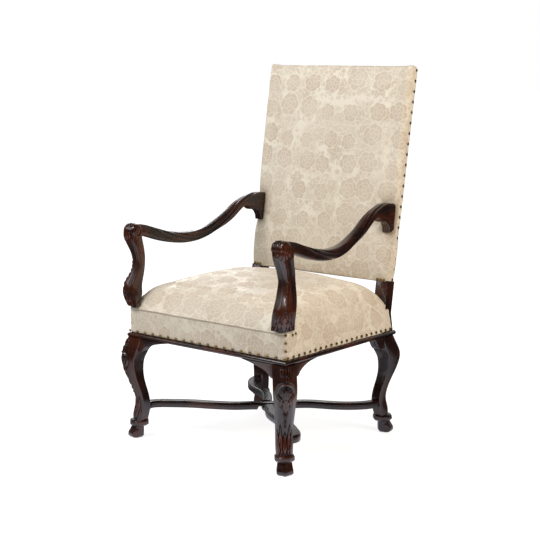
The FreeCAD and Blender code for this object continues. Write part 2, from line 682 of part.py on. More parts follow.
def arm_block():
    """The rear end of the arm: a cove that turns down the front of the stile."""
    half = ARM_WIDTH / 2
    x = ARM_REAR_SPAN / 2 - half
    tall = ARM_BLOCK_TOP - ARM_BLOCK_BOTTOM

    def place(a, b):
        return V(x, ARM_BLOCK_FRONT_Y + a * ARM_BLOCK_LENGTH, ARM_BLOCK_BOTTOM + b * tall)

    cove = [place(a, b) for a, b in ARM_BLOCK_COVE_SHARES]
    rest = [cove[-1]] + [place(a, b) for a, b in ARM_BLOCK_FOOT_SHARES] + [cove[0]]
    edges = [spline(cove).toShape()] + [line(p, q) for p, q in zip(rest, rest[1:])]
    return Part.Face(Part.Wire(edges)).extrude(V(ARM_WIDTH, 0, 0))


def behind_stile_front():
    """Everything behind the plane of the stile's front face."""
    return back_frame(box(-SEAT_FRONT_WIDTH, SEAT_FRONT_WIDTH, STILE_FRONT, SEAT_DEPTH,
                          -CHAIR_HEIGHT, CHAIR_HEIGHT))


def arm_tenon(gap=0):
    half = TENON_THICKNESS / 2 + gap
    middle = (ARM_BLOCK_BOTTOM + ARM_BLOCK_TOP) / 2
    x = ARM_REAR_SPAN / 2
    rise = (middle - BACK_BOTTOM_HEIGHT) / math.cos(RAKE)
    tall = ARM_TENON_HEIGHT / 2 + gap
    return back_frame(box(x - half, x + half, STILE_FRONT - TENON_SHOULDER, STILE_REAR - TENON_SHOULDER / 2 + gap,
                          rise - tall, rise + tall))


def arm():
    body = arm_sweep().fuse([knuckle(), arm_block()]).cut(behind_stile_front())
    body = max(body.Solids, key=lambda s: s.Volume)
    return body.fuse(arm_tenon())


def support_place(share):
    height = SUPPORT_FOOT_HEIGHT + share * (SUPPORT_TOP_HEIGHT - SUPPORT_FOOT_HEIGHT)
    x = (SUPPORT_FOOT_SPAN + (SUPPORT_TOP_SPAN - SUPPORT_FOOT_SPAN) * share) / 2
    return x, height


def side_fullness(breadth, depth):
    """How far a side of the support swells: flatter sections have fuller sides."""
    gain = SUPPORT_SIDE_GAIN * max(0, SUPPORT_SIDE_START - depth / breadth)
    return min(SUPPORT_SIDE_LIMIT, SUPPORT_SIDE_SHARE + gain)


def support_sweep():
    wires = []
    for share, back, step, breadth, outer, inner in SUPPORT_SHARES:
        x, height = support_place(share)
        centre = V(x - step * SUPPORT_DEPTH, SUPPORT_FRONT_Y + back * SUPPORT_DEPTH, height)
        across = V(DIAGONAL, DIAGONAL, 0) * (breadth * SUPPORT_DEPTH)
        out, back_in = (V(DIAGONAL, -DIAGONAL, 0) * (depth * SUPPORT_DEPTH) for depth in (outer, -inner))
        tips = [centre + across, centre + back_in, centre - across, centre + out]
        bulges = [centre + along / 2 + away * side_fullness(breadth, depth)
                  for along, away, depth in ((across, back_in, inner), (-across, back_in, inner),
                                             (-across, out, outer), (across, out, outer))]
        wires.append(Part.Wire([arc(tips[i], bulges[i], tips[(i + 1) % 4]) for i in range(4)]))
    return Part.makeLoft(wires, True, False)


def support_tenon(gap=0):
    """Square tenon from the support's foot down into the leg's head."""
    front = FRONT_Y + BEAD_DEPTH
    x = side_x(front, BEAD_DEPTH) - SUPPORT_TENON_INSET + SUPPORT_TENON_SIDE / 2
    y = front + SUPPORT_TENON_INSET - SUPPORT_TENON_SIDE / 2
    half = SUPPORT_TENON_SIDE / 2 + gap
    return box(x - half, x + half, y - half, y + half, RAIL_TOP - SUPPORT_TENON_LENGTH - gap,
               SUPPORT_FOOT_HEIGHT + TENON_SHOULDER)


def support_stub(gap=0):
    """Square stub up into the arm's knuckle."""
    half = SUPPORT_STUB_SIDE / 2 + gap
    x, y = ARM_FRONT_SPAN / 2, ARM_FRONT_Y + SUPPORT_STUB_SIDE / 2
    low = ARM_KNUCKLE_HEIGHT - KNUCKLE_RADIUS - SUPPORT_STUB_LENGTH
    return box(x - half, x + half, y - half, y + half, low, ARM_KNUCKLE_HEIGHT + gap)


def seat_station(share):
    """Crown, shoulder and roundness at a share of the seat's depth."""
    rows = SEAT_STATION_SHARES
    for low, high in zip(rows, rows[1:]):
        if share <= high[0]:
            part = (share - low[0]) / (high[0] - low[0])
            return [p + (q - p) * part for p, q in zip(low[1:], high[1:])]
    return rows[-1][1:]


def seat_wire(share, inset):
    """The seat's section at a share of its depth, or the section inside its cover."""
    crown, shoulder, roundness = seat_station(share)
    front, rear = FRONT_Y + COVER_SETBACK, REAR_Y
    y = front + share * (rear - front)
    foot_half = side_x(y, COVER_SETBACK + inset)
    side_half = foot_half - SEAT_SIDE_LEAN * share
    top = SEAT_EDGE_HEIGHT + crown * (SEAT_CROWN_HEIGHT - SEAT_EDGE_HEIGHT) - inset
    side = COVER_BOTTOM + shoulder * (SEAT_EDGE_HEIGHT - COVER_BOTTOM) - inset
    at = y + inset * (1 - 2 * share)
    return crowned_wire(lambda u, v: V(u, at, v), foot_half, side_half, RAIL_BOTTOM, COVER_BOTTOM, side, top,
                        roundness)


def seat_wall_x(y, z):
    """Half width of the cover's outside at a point of its side wall."""
    share = (y - FRONT_Y - COVER_SETBACK) / (SEAT_DEPTH - COVER_SETBACK)
    side = COVER_BOTTOM + seat_station(share)[1] * (SEAT_EDGE_HEIGHT - COVER_BOTTOM)
    return side_x(y, COVER_SETBACK) - SEAT_SIDE_LEAN * share * (z - COVER_BOTTOM) / (side - COVER_BOTTOM)


def seat_form(inset):
    """The seat's outer form, or the form inside its cover, with the strips that wrap the rear posts."""
    loft = Part.makeLoft([seat_wire(row[0], inset) for row in SEAT_STATION_SHARES], True, False)
    strip = Part.Face(seat_wire(1, inset)).extrude(V(0, SIDE_STRIP_REACH + inset, 0))
    inner = side_x(REAR_Y, BEAD_DEPTH + HEAD_SIDE)
    right = box(inner, SEAT_FRONT_WIDTH, 0, SEAT_DEPTH, 0, SIDE_STRIP_TOP)
    strips = [strip.common(right), strip.common(mirrored(right))]
    return loft.fuse(strips)


def back_form(inset):
    """The back's outer form, or the form inside its cover, in the back's own frame."""
    wires = []
    for share, crown in BACK_STATION_SHARES:
        height = share * BACK_HEIGHT
        half = back_half(height) - inset
        at = height + inset * (1 - 2 * share)
        rear, skirt = -BACK_DEPTH - inset, -STILE_REAR - inset
        wires.append(crowned_wire(lambda u, v, at=at: V(u, -v, at), half, half, rear, skirt,
                                  -BACK_EDGE_ROUND - inset, crown * BACK_CROWN - inset, BACK_CORNER_ROUND_SHARE))
    return Part.makeLoft(wires, True, False)


def strips(length_span, width_span, make):
    """Webbing strips, as many as the width takes, centred."""
    count = int(width_span / WEBBING_PITCH)
    first = -(count - 1) / 2
    return [make((first + i) * WEBBING_PITCH, length_span / 2) for i in range(count)]


def seat_webbing():
    """Two crossed layers of webbing, tacked to the tops of the rails."""
    half = WEBBING_WIDTH / 2
    front, rear = FRONT_Y + BEAD_DEPTH + WEBBING_END_INSET, REAR_Y - COVER_THICKNESS - WEBBING_END_INSET
    middle = (front + rear) / 2
    depth = rear - front
    low, mid = RAIL_TOP, RAIL_TOP + WEBBING_THICKNESS
    high = mid + WEBBING_THICKNESS

    def crosswise(y, _):
        reach = side_x(middle + y + half, BEAD_DEPTH + WEBBING_END_INSET)
        return box(-reach, reach, middle + y - half, middle + y + half, low, mid)

    def lengthwise(x, reach):
        return box(x - half, x + half, middle - reach, middle + reach, mid, high)

    inside = SEAT_REAR_WIDTH - (BEAD_DEPTH + HEAD_SIDE) * 2
    across = strips(SEAT_REAR_WIDTH, depth - HEAD_SIDE * 2, crosswise)
    return Part.makeCompound(across + strips(depth, inside, lengthwise))


def seat_plan(inset, low, high):
    front, rear = FRONT_Y + inset, REAR_Y - COVER_THICKNESS
    return prism([(side_x(front, inset), front), (side_x(rear, inset), rear),
                  (-side_x(rear, inset), rear), (-side_x(front, inset), front)], low, high)


def dust_cover():
    """Black cloth under the seat, cut off across the corners to clear the legs."""
    low, high = RAIL_BOTTOM - DUST_COVER_THICKNESS, RAIL_BOTTOM
    front, rear = FRONT_Y + DUST_COVER_INSET, REAR_Y - DUST_COVER_INSET
    sheet = prism([(side_x(front, DUST_COVER_INSET), front), (side_x(rear, DUST_COVER_INSET), rear),
                   (-side_x(rear, DUST_COVER_INSET), rear), (-side_x(front, DUST_COVER_INSET), front)], low, high)
    for corner in (FRONT_CORNER, REAR_CORNER):
        points = [corner.at(s, w, low - DUST_COVER_THICKNESS)
                  for s, w in ((-DUST_COVER_CORNER, -SEAT_DEPTH), (-DUST_COVER_CORNER, SEAT_DEPTH),
                               (SEAT_DEPTH, SEAT_DEPTH), (SEAT_DEPTH, -SEAT_DEPTH))]
        wedge = polygon(points).extrude(UP * (DUST_COVER_THICKNESS * 3))
        sheet = sheet.cut(wedge).cut(mirrored(wedge))
    return sheet


def corner_block(corner_y, into, rail_face, frame):
    """A glued block across one inside corner of the seat frame, scribed to what it meets."""
    high = RAIL_TOP - CORNER_BLOCK_TOP_DROP
    inner = BEAD_DEPTH + RAIL_THICKNESS
    reach = HEAD_SIDE - RAIL_THICKNESS + CORNER_BLOCK_LENGTH
    far = rail_face + into * reach
    near_x, far_x = side_x(rail_face, inner), side_x(far, inner)
    block = prism([(near_x, rail_face), (far_x, far), (near_x - reach, rail_face)],
                  high - CORNER_BLOCK_HEIGHT, high)
    block = block.cut(frame)
    return max(block.Solids, key=lambda s: s.Volume)


def back_rail(low, post):
    """A rail between the stiles inside the back, with its tenons, in place."""
    high = low + BACK_RAIL_HEIGHT
    middle = (low + high) / 2
    half = back_half(low) - COVER_THICKNESS - (STILE_WIDTH - COVER_THICKNESS) / 2
    rail = back_frame(box(-half, half, STILE_FRONT, STILE_REAR, low, high))
    rail = rail.cut(post).cut(mirrored(post))
    tenon = back_rail_tenon(low)
    return rail.fuse([tenon, mirrored(tenon)]).removeSplitter()


def back_rail_tenon(low, gap=0):
    middle = low + BACK_RAIL_HEIGHT / 2
    inner = back_half(middle) - STILE_WIDTH
    depth = (STILE_FRONT + STILE_REAR) / 2
    half, tall = TENON_THICKNESS / 2 + gap, BACK_TENON_HEIGHT / 2 + gap
    return back_frame(box(inner - TENON_SHOULDER, inner + BACK_TENON_LENGTH + gap, depth - half, depth + half,
                          middle - tall, middle + tall))


def back_webbing():
    """Crossed webbing on the front of the back's frame."""
    half = WEBBING_WIDTH / 2
    low, high = COVER_THICKNESS + WEBBING_END_INSET, BACK_HEIGHT - COVER_THICKNESS - WEBBING_END_INSET
    middle = (low + high) / 2
    rear = STILE_FRONT
    mid, front = rear - WEBBING_THICKNESS, rear - WEBBING_THICKNESS * 2

    def upright(x, reach):
        return box(x - half, x + half, mid, rear, middle - reach, middle + reach)

    def level(z, _):
        reach = back_half(middle + z - half) - COVER_THICKNESS - WEBBING_END_INSET
        return box(-reach, reach, front, mid, middle + z - half, middle + z + half)

    inside = BACK_BOTTOM_WIDTH - STILE_WIDTH * 2
    webs = strips(high - low, inside, upright) + strips(BACK_BOTTOM_WIDTH, high - low - BACK_RAIL_HEIGHT, level)
    return back_frame(Part.makeCompound(webs))


def back_sheet(front, rear, inset):
    """A flat sheet over the back's whole height, inset all round from its outer form."""
    low, high = inset, BACK_HEIGHT - inset
    points = [V(back_half(low) - inset, front, low), V(back_half(high) - inset, front, high),
              V(inset - back_half(high), front, high), V(inset - back_half(low), front, low)]
    return back_frame(polygon(points).extrude(V(0, rear - front, 0)))


def nail_solid():
    """One dome-headed nail on +Z, its shank pointing down from the origin."""
    radius, shank = NAIL_DIAMETER / 2, NAIL_SHANK / 2
    ball = (radius * radius + NAIL_DOME * NAIL_DOME) / (2 * NAIL_DOME)
    half_angle = math.asin(radius / ball) / 2
    middle = V(ball * math.sin(half_angle), 0, NAIL_DOME - ball + ball * math.cos(half_angle))
    tip, taper = V(0, 0, -NAIL_LENGTH), V(shank, 0, NAIL_SHANK - NAIL_LENGTH)
    neck, rim, crown = V(shank, 0, 0), V(radius, 0, 0), V(0, 0, NAIL_DOME)
    outline = Part.Wire([line(tip, taper), line(taper, neck), line(neck, rim), arc(rim, middle, crown),
                         line(crown, tip)])
    return Part.Face(outline).revolve(V(0, 0, 0), UP, 360)


def nail_hole():
    return Part.makeCylinder(NAIL_SHANK / 2 + GLUE_GAP, NAIL_LENGTH + OVERRUN + GLUE_GAP,
                             V(0, 0, -NAIL_LENGTH - GLUE_GAP))


def set_out(shape, places):
    """Copies of a shape at (point, outward direction) places."""
    copies = []
    for point, outward in places:
        copy = shape.copy()
        copy.Placement = FreeCAD.Placement(point, FreeCAD.Rotation(UP, outward))
        copies.append(copy)
    return copies


def spread(length, pitch):
    """Shares from 0 to 1 of evenly spaced places along a length."""
    count = max(2, round(length / pitch) + 1)
    return [i / (count - 1) for i in range(count)]


def front_nail_places():
    y, z = FRONT_Y + COVER_SETBACK, COVER_BOTTOM + NAIL_ROW_RISE
    reach = side_x(y, COVER_SETBACK) - NAIL_CORNER_INSET
    return [(V(-reach + share * reach * 2, y, z), V(0, -1, 0)) for share in spread(reach * 2, NAIL_FRONT_PITCH)]


def side_nail_places():
    near, far = FRONT_Y + COVER_SETBACK + NAIL_SIDE_INSET, REAR_Y - NAIL_SIDE_INSET
    reach = NAIL_DIAMETER / 2
    places = []
    for share in spread(far - near, NAIL_SIDE_PITCH):
        y = near + share * (far - near)
        z = COVER_BOTTOM + NAIL_ROW_RISE + NAIL_ROW_ARCH * (1 - (2 * share - 1) ** 2)
        narrowing = (seat_wall_x(y - reach, z) - seat_wall_x(y + reach, z)) / (reach * 2)
        lean = (seat_wall_x(y, z - reach) - seat_wall_x(y, z + reach)) / (reach * 2)
        outward = V(1, narrowing, lean).normalize()
        places.append((V(seat_wall_x(y, z), y, z) + outward * GLUE_GAP, outward))
    return places


def corner_nail_places():
    """A short upright row on the front face, at its right-hand corner."""
    y = FRONT_Y + COVER_SETBACK
    x = side_x(y, COVER_SETBACK) - NAIL_CORNER_INSET
    low = COVER_BOTTOM + NAIL_ROW_RISE
    return [(V(x, y, low + (i + 1) * NAIL_CORNER_PITCH), V(0, -1, 0)) for i in range(NAILS_CORNER - 1)]


def rear_nail_places():
    y, z = REAR_Y, COVER_BOTTOM + NAIL_ROW_RISE
    reach = side_x(REAR_Y, BEAD_DEPTH + HEAD_SIDE) - NAIL_DIAMETER
    return [(V(-reach + share * reach * 2, y, z), V(0, 1, 0)) for share in spread(reach * 2, NAIL_REAR_PITCH)]


def in_back_frame(places):
    frame = FreeCAD.Placement(V(0, BACK_SET_BACK, BACK_BOTTOM_HEIGHT), FreeCAD.Rotation(V(1, 0, 0), -BACK_RAKE))
    return [(frame.multVec(point), frame.Rotation.multVec(outward)) for point, outward in places]


def back_side_nail_places():
    low, high = NAIL_DIAMETER, BACK_HEIGHT - NAIL_DIAMETER
    splay = (BACK_TOP_WIDTH - BACK_BOTTOM_WIDTH) / 2 / BACK_HEIGHT
    outward = V(1, 0, -splay).normalize()
    depth = STILE_REAR - NAIL_EDGE_INSET
    return in_back_frame([(V(back_half(z), depth, z), outward)
                          for z in (low + share * (high - low) for share in spread(high - low, NAIL_BACK_PITCH))])


def back_lower_nail_places():
    """Three nails along the lower edge at the right-hand corner."""
    first = back_half(0) - NAIL_EDGE_INSET * 2
    return in_back_frame([(V(first - i * NAIL_LOWER_PITCH, -NAIL_LOWER_STAND, NAIL_LOWER_RISE), V(0, -1, 0))
                          for i in range(NAILS_LOWER)])


def flipped(places):
    return [(V(-p.x, p.y, p.z), V(-n.x, n.y, n.z)) for p, n in places]


def build():
    nodes = {}

    # Legs, posts and stretchers
    inner = seat_form(COVER_THICKNESS)
    inside = inner.fuse(box(-SEAT_FRONT_WIDTH, SEAT_FRONT_WIDTH, -SEAT_DEPTH, SEAT_DEPTH, 0, RAIL_BOTTOM))
    front_leg = whole_leg(FRONT_CORNER).fuse(front_head(inside))
    post = rear_post(inside)
    blank, front_end, rear_end = stretcher_blank()
    right_leg_bodies = [front_leg, post]
    all_legs = right_leg_bodies + [mirrored(s) for s in right_leg_bodies]
    scribed = blank.cut(all_legs)
    scribed = max(scribed.Solids, key=lambda s: s.Volume)
    left_front_end = V(-front_end.x, front_end.y, front_end.z)
    over = scribed.fuse([stretcher_tenon(left_front_end, -1), stretcher_tenon(rear_end, 1)])
    under = mirrored(over)
    lap = STRETCHER_BOTTOM + STRETCHER_THICKNESS / 2
    crossing = STRETCHER_WIDTH * 2
    centre = STRETCHER_CENTRE_SET_BACK
    lower_half = box(-crossing, crossing, centre - crossing, centre + crossing, 0, lap)
    upper_half = box(-crossing, crossing, centre - crossing, centre + crossing, lap, RAIL_BOTTOM)
    nodes["stretcher_over"] = over.cut(under.common(lower_half))
    nodes["stretcher_under"] = under.cut(over.common(upper_half))

    # Seat rails
    rail, front_tenon = front_rail(front_leg)
    nodes["front_seat_rail"] = rail
    rear, rear_tenon = rear_rail(post)
    nodes["rear_seat_rail"] = rear
    side, near_tenon, far_tenon = side_rail(front_leg, post, inside)
    both("side_seat_rail", side, nodes)

    # Arms and supports
    arm_body = arm()
    foot_tenon, stub = support_tenon(), support_stub()
    support = support_sweep().cut(arm_body)
    support = max(support.Solids, key=lambda s: s.Volume).fuse([foot_tenon, stub])
    arm_body = arm_body.cut(support_stub(GLUE_GAP))
    both("arm", arm_body, nodes)

    # Mortises
    head_inner = side_x(FRONT_Y + BEAD_DEPTH, BEAD_DEPTH + HEAD_SIDE)
    rear_inner = side_x(REAR_Y, BEAD_DEPTH + HEAD_SIDE)
    rear_face = REAR_Y - COVER_THICKNESS - RAIL_THICKNESS
    right_front_end = front_end
    front_leg = front_leg.cut([
        tenon_box(head_inner, FRONT_Y + BEAD_DEPTH, GLUE_GAP), side_tenon(*near_tenon, GLUE_GAP),
        stretcher_tenon(right_front_end, -1, GLUE_GAP), support_tenon(GLUE_GAP)])
    top_low, bottom_low = BACK_HEIGHT - COVER_THICKNESS - BACK_RAIL_HEIGHT, COVER_THICKNESS
    back_top, back_bottom = back_rail(top_low, post), back_rail(bottom_low, post)
    post = post.cut([
        tenon_box(rear_inner, rear_face, GLUE_GAP), side_tenon(*far_tenon, GLUE_GAP),
        stretcher_tenon(rear_end, 1, GLUE_GAP), arm_tenon(GLUE_GAP),
        back_rail_tenon(top_low, GLUE_GAP), back_rail_tenon(bottom_low, GLUE_GAP)])

    # Beads
    bead_front, bead_side = beads()
    nodes["bead_front"] = bead_front
    bead_side = bead_side.cut(post)
    both("bead", max(bead_side.Solids, key=lambda s: s.Volume), nodes)

    # Corner blocks
    front_face = FRONT_Y + BEAD_DEPTH + RAIL_THICKNESS
    frame = [front_leg, post, rail, rear, side]
    both("corner_block_front", corner_block(FRONT_Y, 1, front_face, frame), nodes)
    both("corner_block_rear", corner_block(REAR_Y, -1, rear_face, frame), nodes)

    # Seat upholstery
    web_top = RAIL_TOP + WEBBING_THICKNESS * 2
    hessian_top = web_top + HESSIAN_THICKNESS
    uprights = [stile_below(CLOTH_GAP), support]
    uprights += [mirrored(s) for s in uprights]
    nodes["seat_webbing"] = seat_webbing()
    nodes["seat_hessian"] = seat_plan(BEAD_DEPTH, web_top, hessian_top).common(inner).cut(uprights)
    outer = seat_form(0)
    below = box(-SEAT_FRONT_WIDTH, SEAT_FRONT_WIDTH, -SEAT_DEPTH, SEAT_DEPTH, 0, COVER_BOTTOM)
    above = box(-SEAT_FRONT_WIDTH, SEAT_FRONT_WIDTH, -SEAT_DEPTH, SEAT_DEPTH, hessian_top, CHAIR_HEIGHT)
    stuffing = inner.common(above).cut(uprights)
    nodes["seat_stuffing"] = max(stuffing.Solids, key=lambda s: s.Volume)
    welt_y = FRONT_Y + COVER_SETBACK
    welt_half = side_x(welt_y, COVER_SETBACK) - WELT_END_INSET
    welt = Part.makeCylinder(WELT_DIAMETER / 2, welt_half * 2, V(-welt_half, welt_y, SEAT_EDGE_HEIGHT), V(1, 0, 0))
    welt = welt.cut(uprights)
    nodes["seat_welt"] = welt
    behind = back_frame(box(-SEAT_FRONT_WIDTH, SEAT_FRONT_WIDTH, BACK_DEPTH, SEAT_DEPTH, -CHAIR_HEIGHT, 0))
    cover = outer.cut(inner).cut(uprights + [welt, behind, below])
    cover = max(cover.Solids, key=lambda s: s.Volume)
    nodes["dust_cover"] = dust_cover()

    # Back upholstery
    nodes["back_top_rail"], nodes["back_bottom_rail"] = back_top, back_bottom
    web_front = STILE_FRONT - WEBBING_THICKNESS * 2
    hessian_front = web_front - HESSIAN_THICKNESS
    back_outer, back_inner = back_frame(back_form(0)), back_frame(back_form(COVER_THICKNESS))
    arms = [arm_body, mirrored(arm_body)]
    lower_holes = set_out(nail_hole(), back_lower_nail_places() + flipped(back_lower_nail_places()))
    nodes["back_webbing"] = back_webbing().cut(arms)
    nodes["back_hessian"] = back_sheet(hessian_front, web_front, COVER_THICKNESS).cut(arms + lower_holes)
    stiles = [stile_below(CLOTH_GAP), mirrored(stile_below(CLOTH_GAP))]
    in_front = back_frame(box(-SEAT_FRONT_WIDTH, SEAT_FRONT_WIDTH, -SEAT_DEPTH, hessian_front,
                              -CHAIR_HEIGHT, CHAIR_HEIGHT))
    back_stuffing = back_inner.common(in_front).cut(arms)
    nodes["back_stuffing"] = max(back_stuffing.Solids, key=lambda s: s.Volume).cut(lower_holes)
    back_cover = back_outer.cut(back_inner).cut(arms + stiles)
    back_cover = max(back_cover.Solids, key=lambda s: s.Volume)
    panel = back_sheet(STILE_REAR, BACK_DEPTH, COVER_THICKNESS + CLOTH_GAP)

    # Nails and their holes
    rows = {
        "seat_nails_front": front_nail_places(),
        "seat_nails_right": side_nail_places(),
        "seat_nails_left": flipped(side_nail_places()),
        "seat_nails_corner": corner_nail_places() + flipped(corner_nail_places()),
        "seat_nails_rear": rear_nail_places(),
        "back_nails_right": back_side_nail_places(),
        "back_nails_left": flipped(back_side_nail_places()),
        "back_nails_lower": back_lower_nail_places() + flipped(back_lower_nail_places()),
    }
    nail = nail_solid()
    for name, places in rows.items():
        nodes[name] = Part.makeCompound(set_out(nail, places))
    seat_holes = [h for name, places in rows.items() if name.startswith("seat")
                  for h in set_out(nail_hole(), places)]
    back_holes = [h for name, places in rows.items() if name.startswith("back")
                  for h in set_out(nail_hole(), places)]
    cover = cover.cut(seat_holes)
    for name in ("front_seat_rail", "rear_seat_rail", "side_seat_rail_right", "side_seat_rail_left"):
        nodes[name] = nodes[name].cut(seat_holes)
    front_leg = front_leg.cut([h for h in seat_holes if h.BoundBox.XMin > 0])
    post = post.cut([h for h in seat_holes + back_holes if h.BoundBox.XMin > 0])
    nodes["seat_cover"] = cover
    nodes["back_cover"] = back_cover.cut(back_holes)
    nodes["back_bottom_rail"] = nodes["back_bottom_rail"].cut(back_holes)
    nodes["back_panel"] = panel
    both("front_leg", front_leg, nodes)
    both("rear_post", post, nodes)
    both("arm_support", support, nodes)
    return nodes


def export(nodes):
    """Moves the chair onto the middle of its bounding box and writes one file per piece."""
    os.makedirs("parts", exist_ok=True)
    boxes = [shape.optimalBoundingBox(False, False) for shape in nodes.values()]
    middle = (min(b.YMin for b in boxes) + max(b.YMax for b in boxes)) / 2
    floor = min(b.ZMin for b in boxes)
    print("seat middle stands at y", round(-middle, 3), "floor", round(floor, 3))
    for name, shape in sorted(nodes.items()):
        placed = shape.copy()
        placed.translate(V(0, -middle, -floor))
        placed.exportStep("parts/" + name + ".step")
        print(name, len(placed.Solids), "solids", round(placed.Volume / 1000, 1), "cm3", placed.isValid())


export(build())
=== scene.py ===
"""Upholstered walnut armchair: carved wood, damask, piping and brass nails round the packed frame.

Lengths in the shape tables are millimetres in the seat's own frame, as the part's source has them:
+X across, -Y to the front, the seat's middle at y 0. put() turns them into metres in the row's frame.
"""
import math

import bmesh
import bpy
import numpy as np
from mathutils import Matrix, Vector


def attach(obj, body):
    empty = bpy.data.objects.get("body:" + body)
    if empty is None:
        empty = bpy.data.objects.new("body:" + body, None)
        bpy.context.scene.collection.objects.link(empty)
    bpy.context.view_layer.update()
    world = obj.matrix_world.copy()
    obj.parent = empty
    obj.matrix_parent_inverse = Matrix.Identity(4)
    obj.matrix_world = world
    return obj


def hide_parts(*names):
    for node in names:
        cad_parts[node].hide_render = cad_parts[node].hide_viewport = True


bl_info = {
    "name": "Upholstered Armchair",
    "version": (1, 0, 0),
    "blender": (4, 5, 0),
    "location": "View3D > Sidebar > Armchair",
    "description": "Carved walnut, damask, piping and nails of a tall-backed armchair",
    "category": "Add Mesh",
}

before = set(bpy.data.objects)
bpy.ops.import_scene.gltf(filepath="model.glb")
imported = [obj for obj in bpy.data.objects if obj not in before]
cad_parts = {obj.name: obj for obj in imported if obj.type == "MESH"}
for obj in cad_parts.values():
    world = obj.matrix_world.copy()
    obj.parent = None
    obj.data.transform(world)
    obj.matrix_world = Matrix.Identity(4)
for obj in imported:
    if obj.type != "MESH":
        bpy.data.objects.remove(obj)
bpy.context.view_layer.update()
ROW_SHIFT = -0.059255
BODY = "root"
rng = np.random.default_rng(7)

# The chair, as in the part's source
FRONT_WIDTH, REAR_WIDTH, SEAT_DEPTH = 650, 613.4, 563.6
FRONT_Y, REAR_Y = -SEAT_DEPTH / 2, SEAT_DEPTH / 2
TAPER = (FRONT_WIDTH - REAR_WIDTH) / 2 / SEAT_DEPTH
RAIL_BOTTOM, COVER_BOTTOM, EDGE_HEIGHT = 326, 340, 420
COVER_INSET = 6
COVER_FRONT_Y = FRONT_Y + COVER_INSET
DIAGONAL = math.sqrt(0.5)
CHAIR_HEIGHT, BACK_FOOT, BACK_SET_BACK, BACK_RAKE = 1170, 493.4, 275.6, math.radians(9.1)
BACK_HEIGHT = (CHAIR_HEIGHT - BACK_FOOT) / math.cos(BACK_RAKE)
BACK_WIDTH, BACK_FLARE = 567.5, 15.5

# Legs: height as a share of the rail's, then outer edge, inner edge and half width in knees
KNEE = 51
LEG_ROWS = [(0.17, -0.34, -1.20, 0.49), (0.24, -0.36, -1.31, 0.51), (0.33, -0.48, -1.37, 0.51),
            (0.44, -0.39, -1.26, 0.53), (0.55, -0.13, -1.07, 0.58), (0.65, 0.14, -0.98, 0.64),
            (0.72, 0.29, -0.99, 0.68), (0.79, 0.37, -1.07, 0.70), (0.86, 0.31, -1.28, 0.70),
            (0.92, 0.15, -1.42, 0.70), (1.00, -0.08, -1.48, 0.70)]
REAR_SPLAY, REAR_THROW, SPLAY_START = 41, 7, 0.44
SHAFT_FOOT, SHAFT_HEAD = 55.5, 326.6
NOSE_POINTS, FLANK_POINTS = 12, 26
HOOF_CUT, BLOCK_CUT = 0.0583, 0.3265  # metres

# Arms: share of the length, rise in sweeps and depth as a share
ARM_FRONT_Y, ARM_REAR_Y, KNUCKLE_HEIGHT, ARM_SWEEP = -273, 318, 665.5, 56
ARM_WIDTH, ARM_DEPTH = 35, 36
ARM_ROWS = [(0.00, 0.02, 1.00), (0.057, -0.04, 1.02), (0.171, -0.39, 1.00), (0.314, -0.72, 0.99),
            (0.462, -0.74, 0.95), (0.597, -0.32, 0.86), (0.733, 0.41, 0.90), (0.834, 0.91, 1.00)]
ARM_SPAN = [(0, 605), (0.286, 596.2), (0.714, 548.1), (0.953, 532), (1.1, 532)]
ARM_TAIL = [((235, 690.3), (236, 740.5)), ((255, 688.2), (258, 744.6)), ((268.2, 683.5), (281, 744.5)),
            ((277, 675.9), (308, 741)), ((283, 665.8), (322, 733)), ((286, 657), (318, 706)),
            ((287.5, 650.5), (311, 664))]
# Share of an arm's run, and the angle of its arris above the side in degrees
ARM_ARRIS = [(0, 62), (0.06, 55), (0.16, 34), (0.28, -8), (0.40, -40), (0.50, -38), (0.62, -8), (0.74, 22),
             (0.82, 40), (0.90, 52), (1.0, 52)]

# Supports: share of the height, then set-back, step inwards, breadth, outer and inner half depth
SUPPORT_SPAN, SUPPORT_LEAN, SUPPORT_Y, SUPPORT_SCALE = 610, 4, -264, 40
SUPPORT_FOOT, SUPPORT_RISE = 427, 237
SUPPORT_ROWS = [
    (0.000, -0.020, 0.136, 0.855, 0.635, 0.085),
    (0.083, -0.015, 0.102, 0.855, 0.836, 0.386),
    (0.167, -0.072, -0.010, 0.861, 0.860, 0.640),
    (0.250, -0.107, -0.127, 0.845, 0.739, 0.729),
    (0.333, 0.033, -0.110, 0.801, 0.680, 0.680),
    (0.417, 0.228, -0.019, 0.743, 0.566, 0.566),
    (0.500, 0.353, 0.056, 0.683, 0.492, 0.492),
    (0.583, 0.394, 0.073, 0.635, 0.485, 0.485),
    (0.667, 0.340, 0.085, 0.650, 0.510, 0.510),
    (0.750, 0.208, 0.061, 0.685, 0.571, 0.571),
    (0.833, 0.015, 0.032, 0.734, 0.646, 0.646),
    (0.917, -0.126, -0.015, 0.777, 0.700, 0.700),
    (1.000, -0.132, -0.017, 0.779, 0.703, 0.703),
]

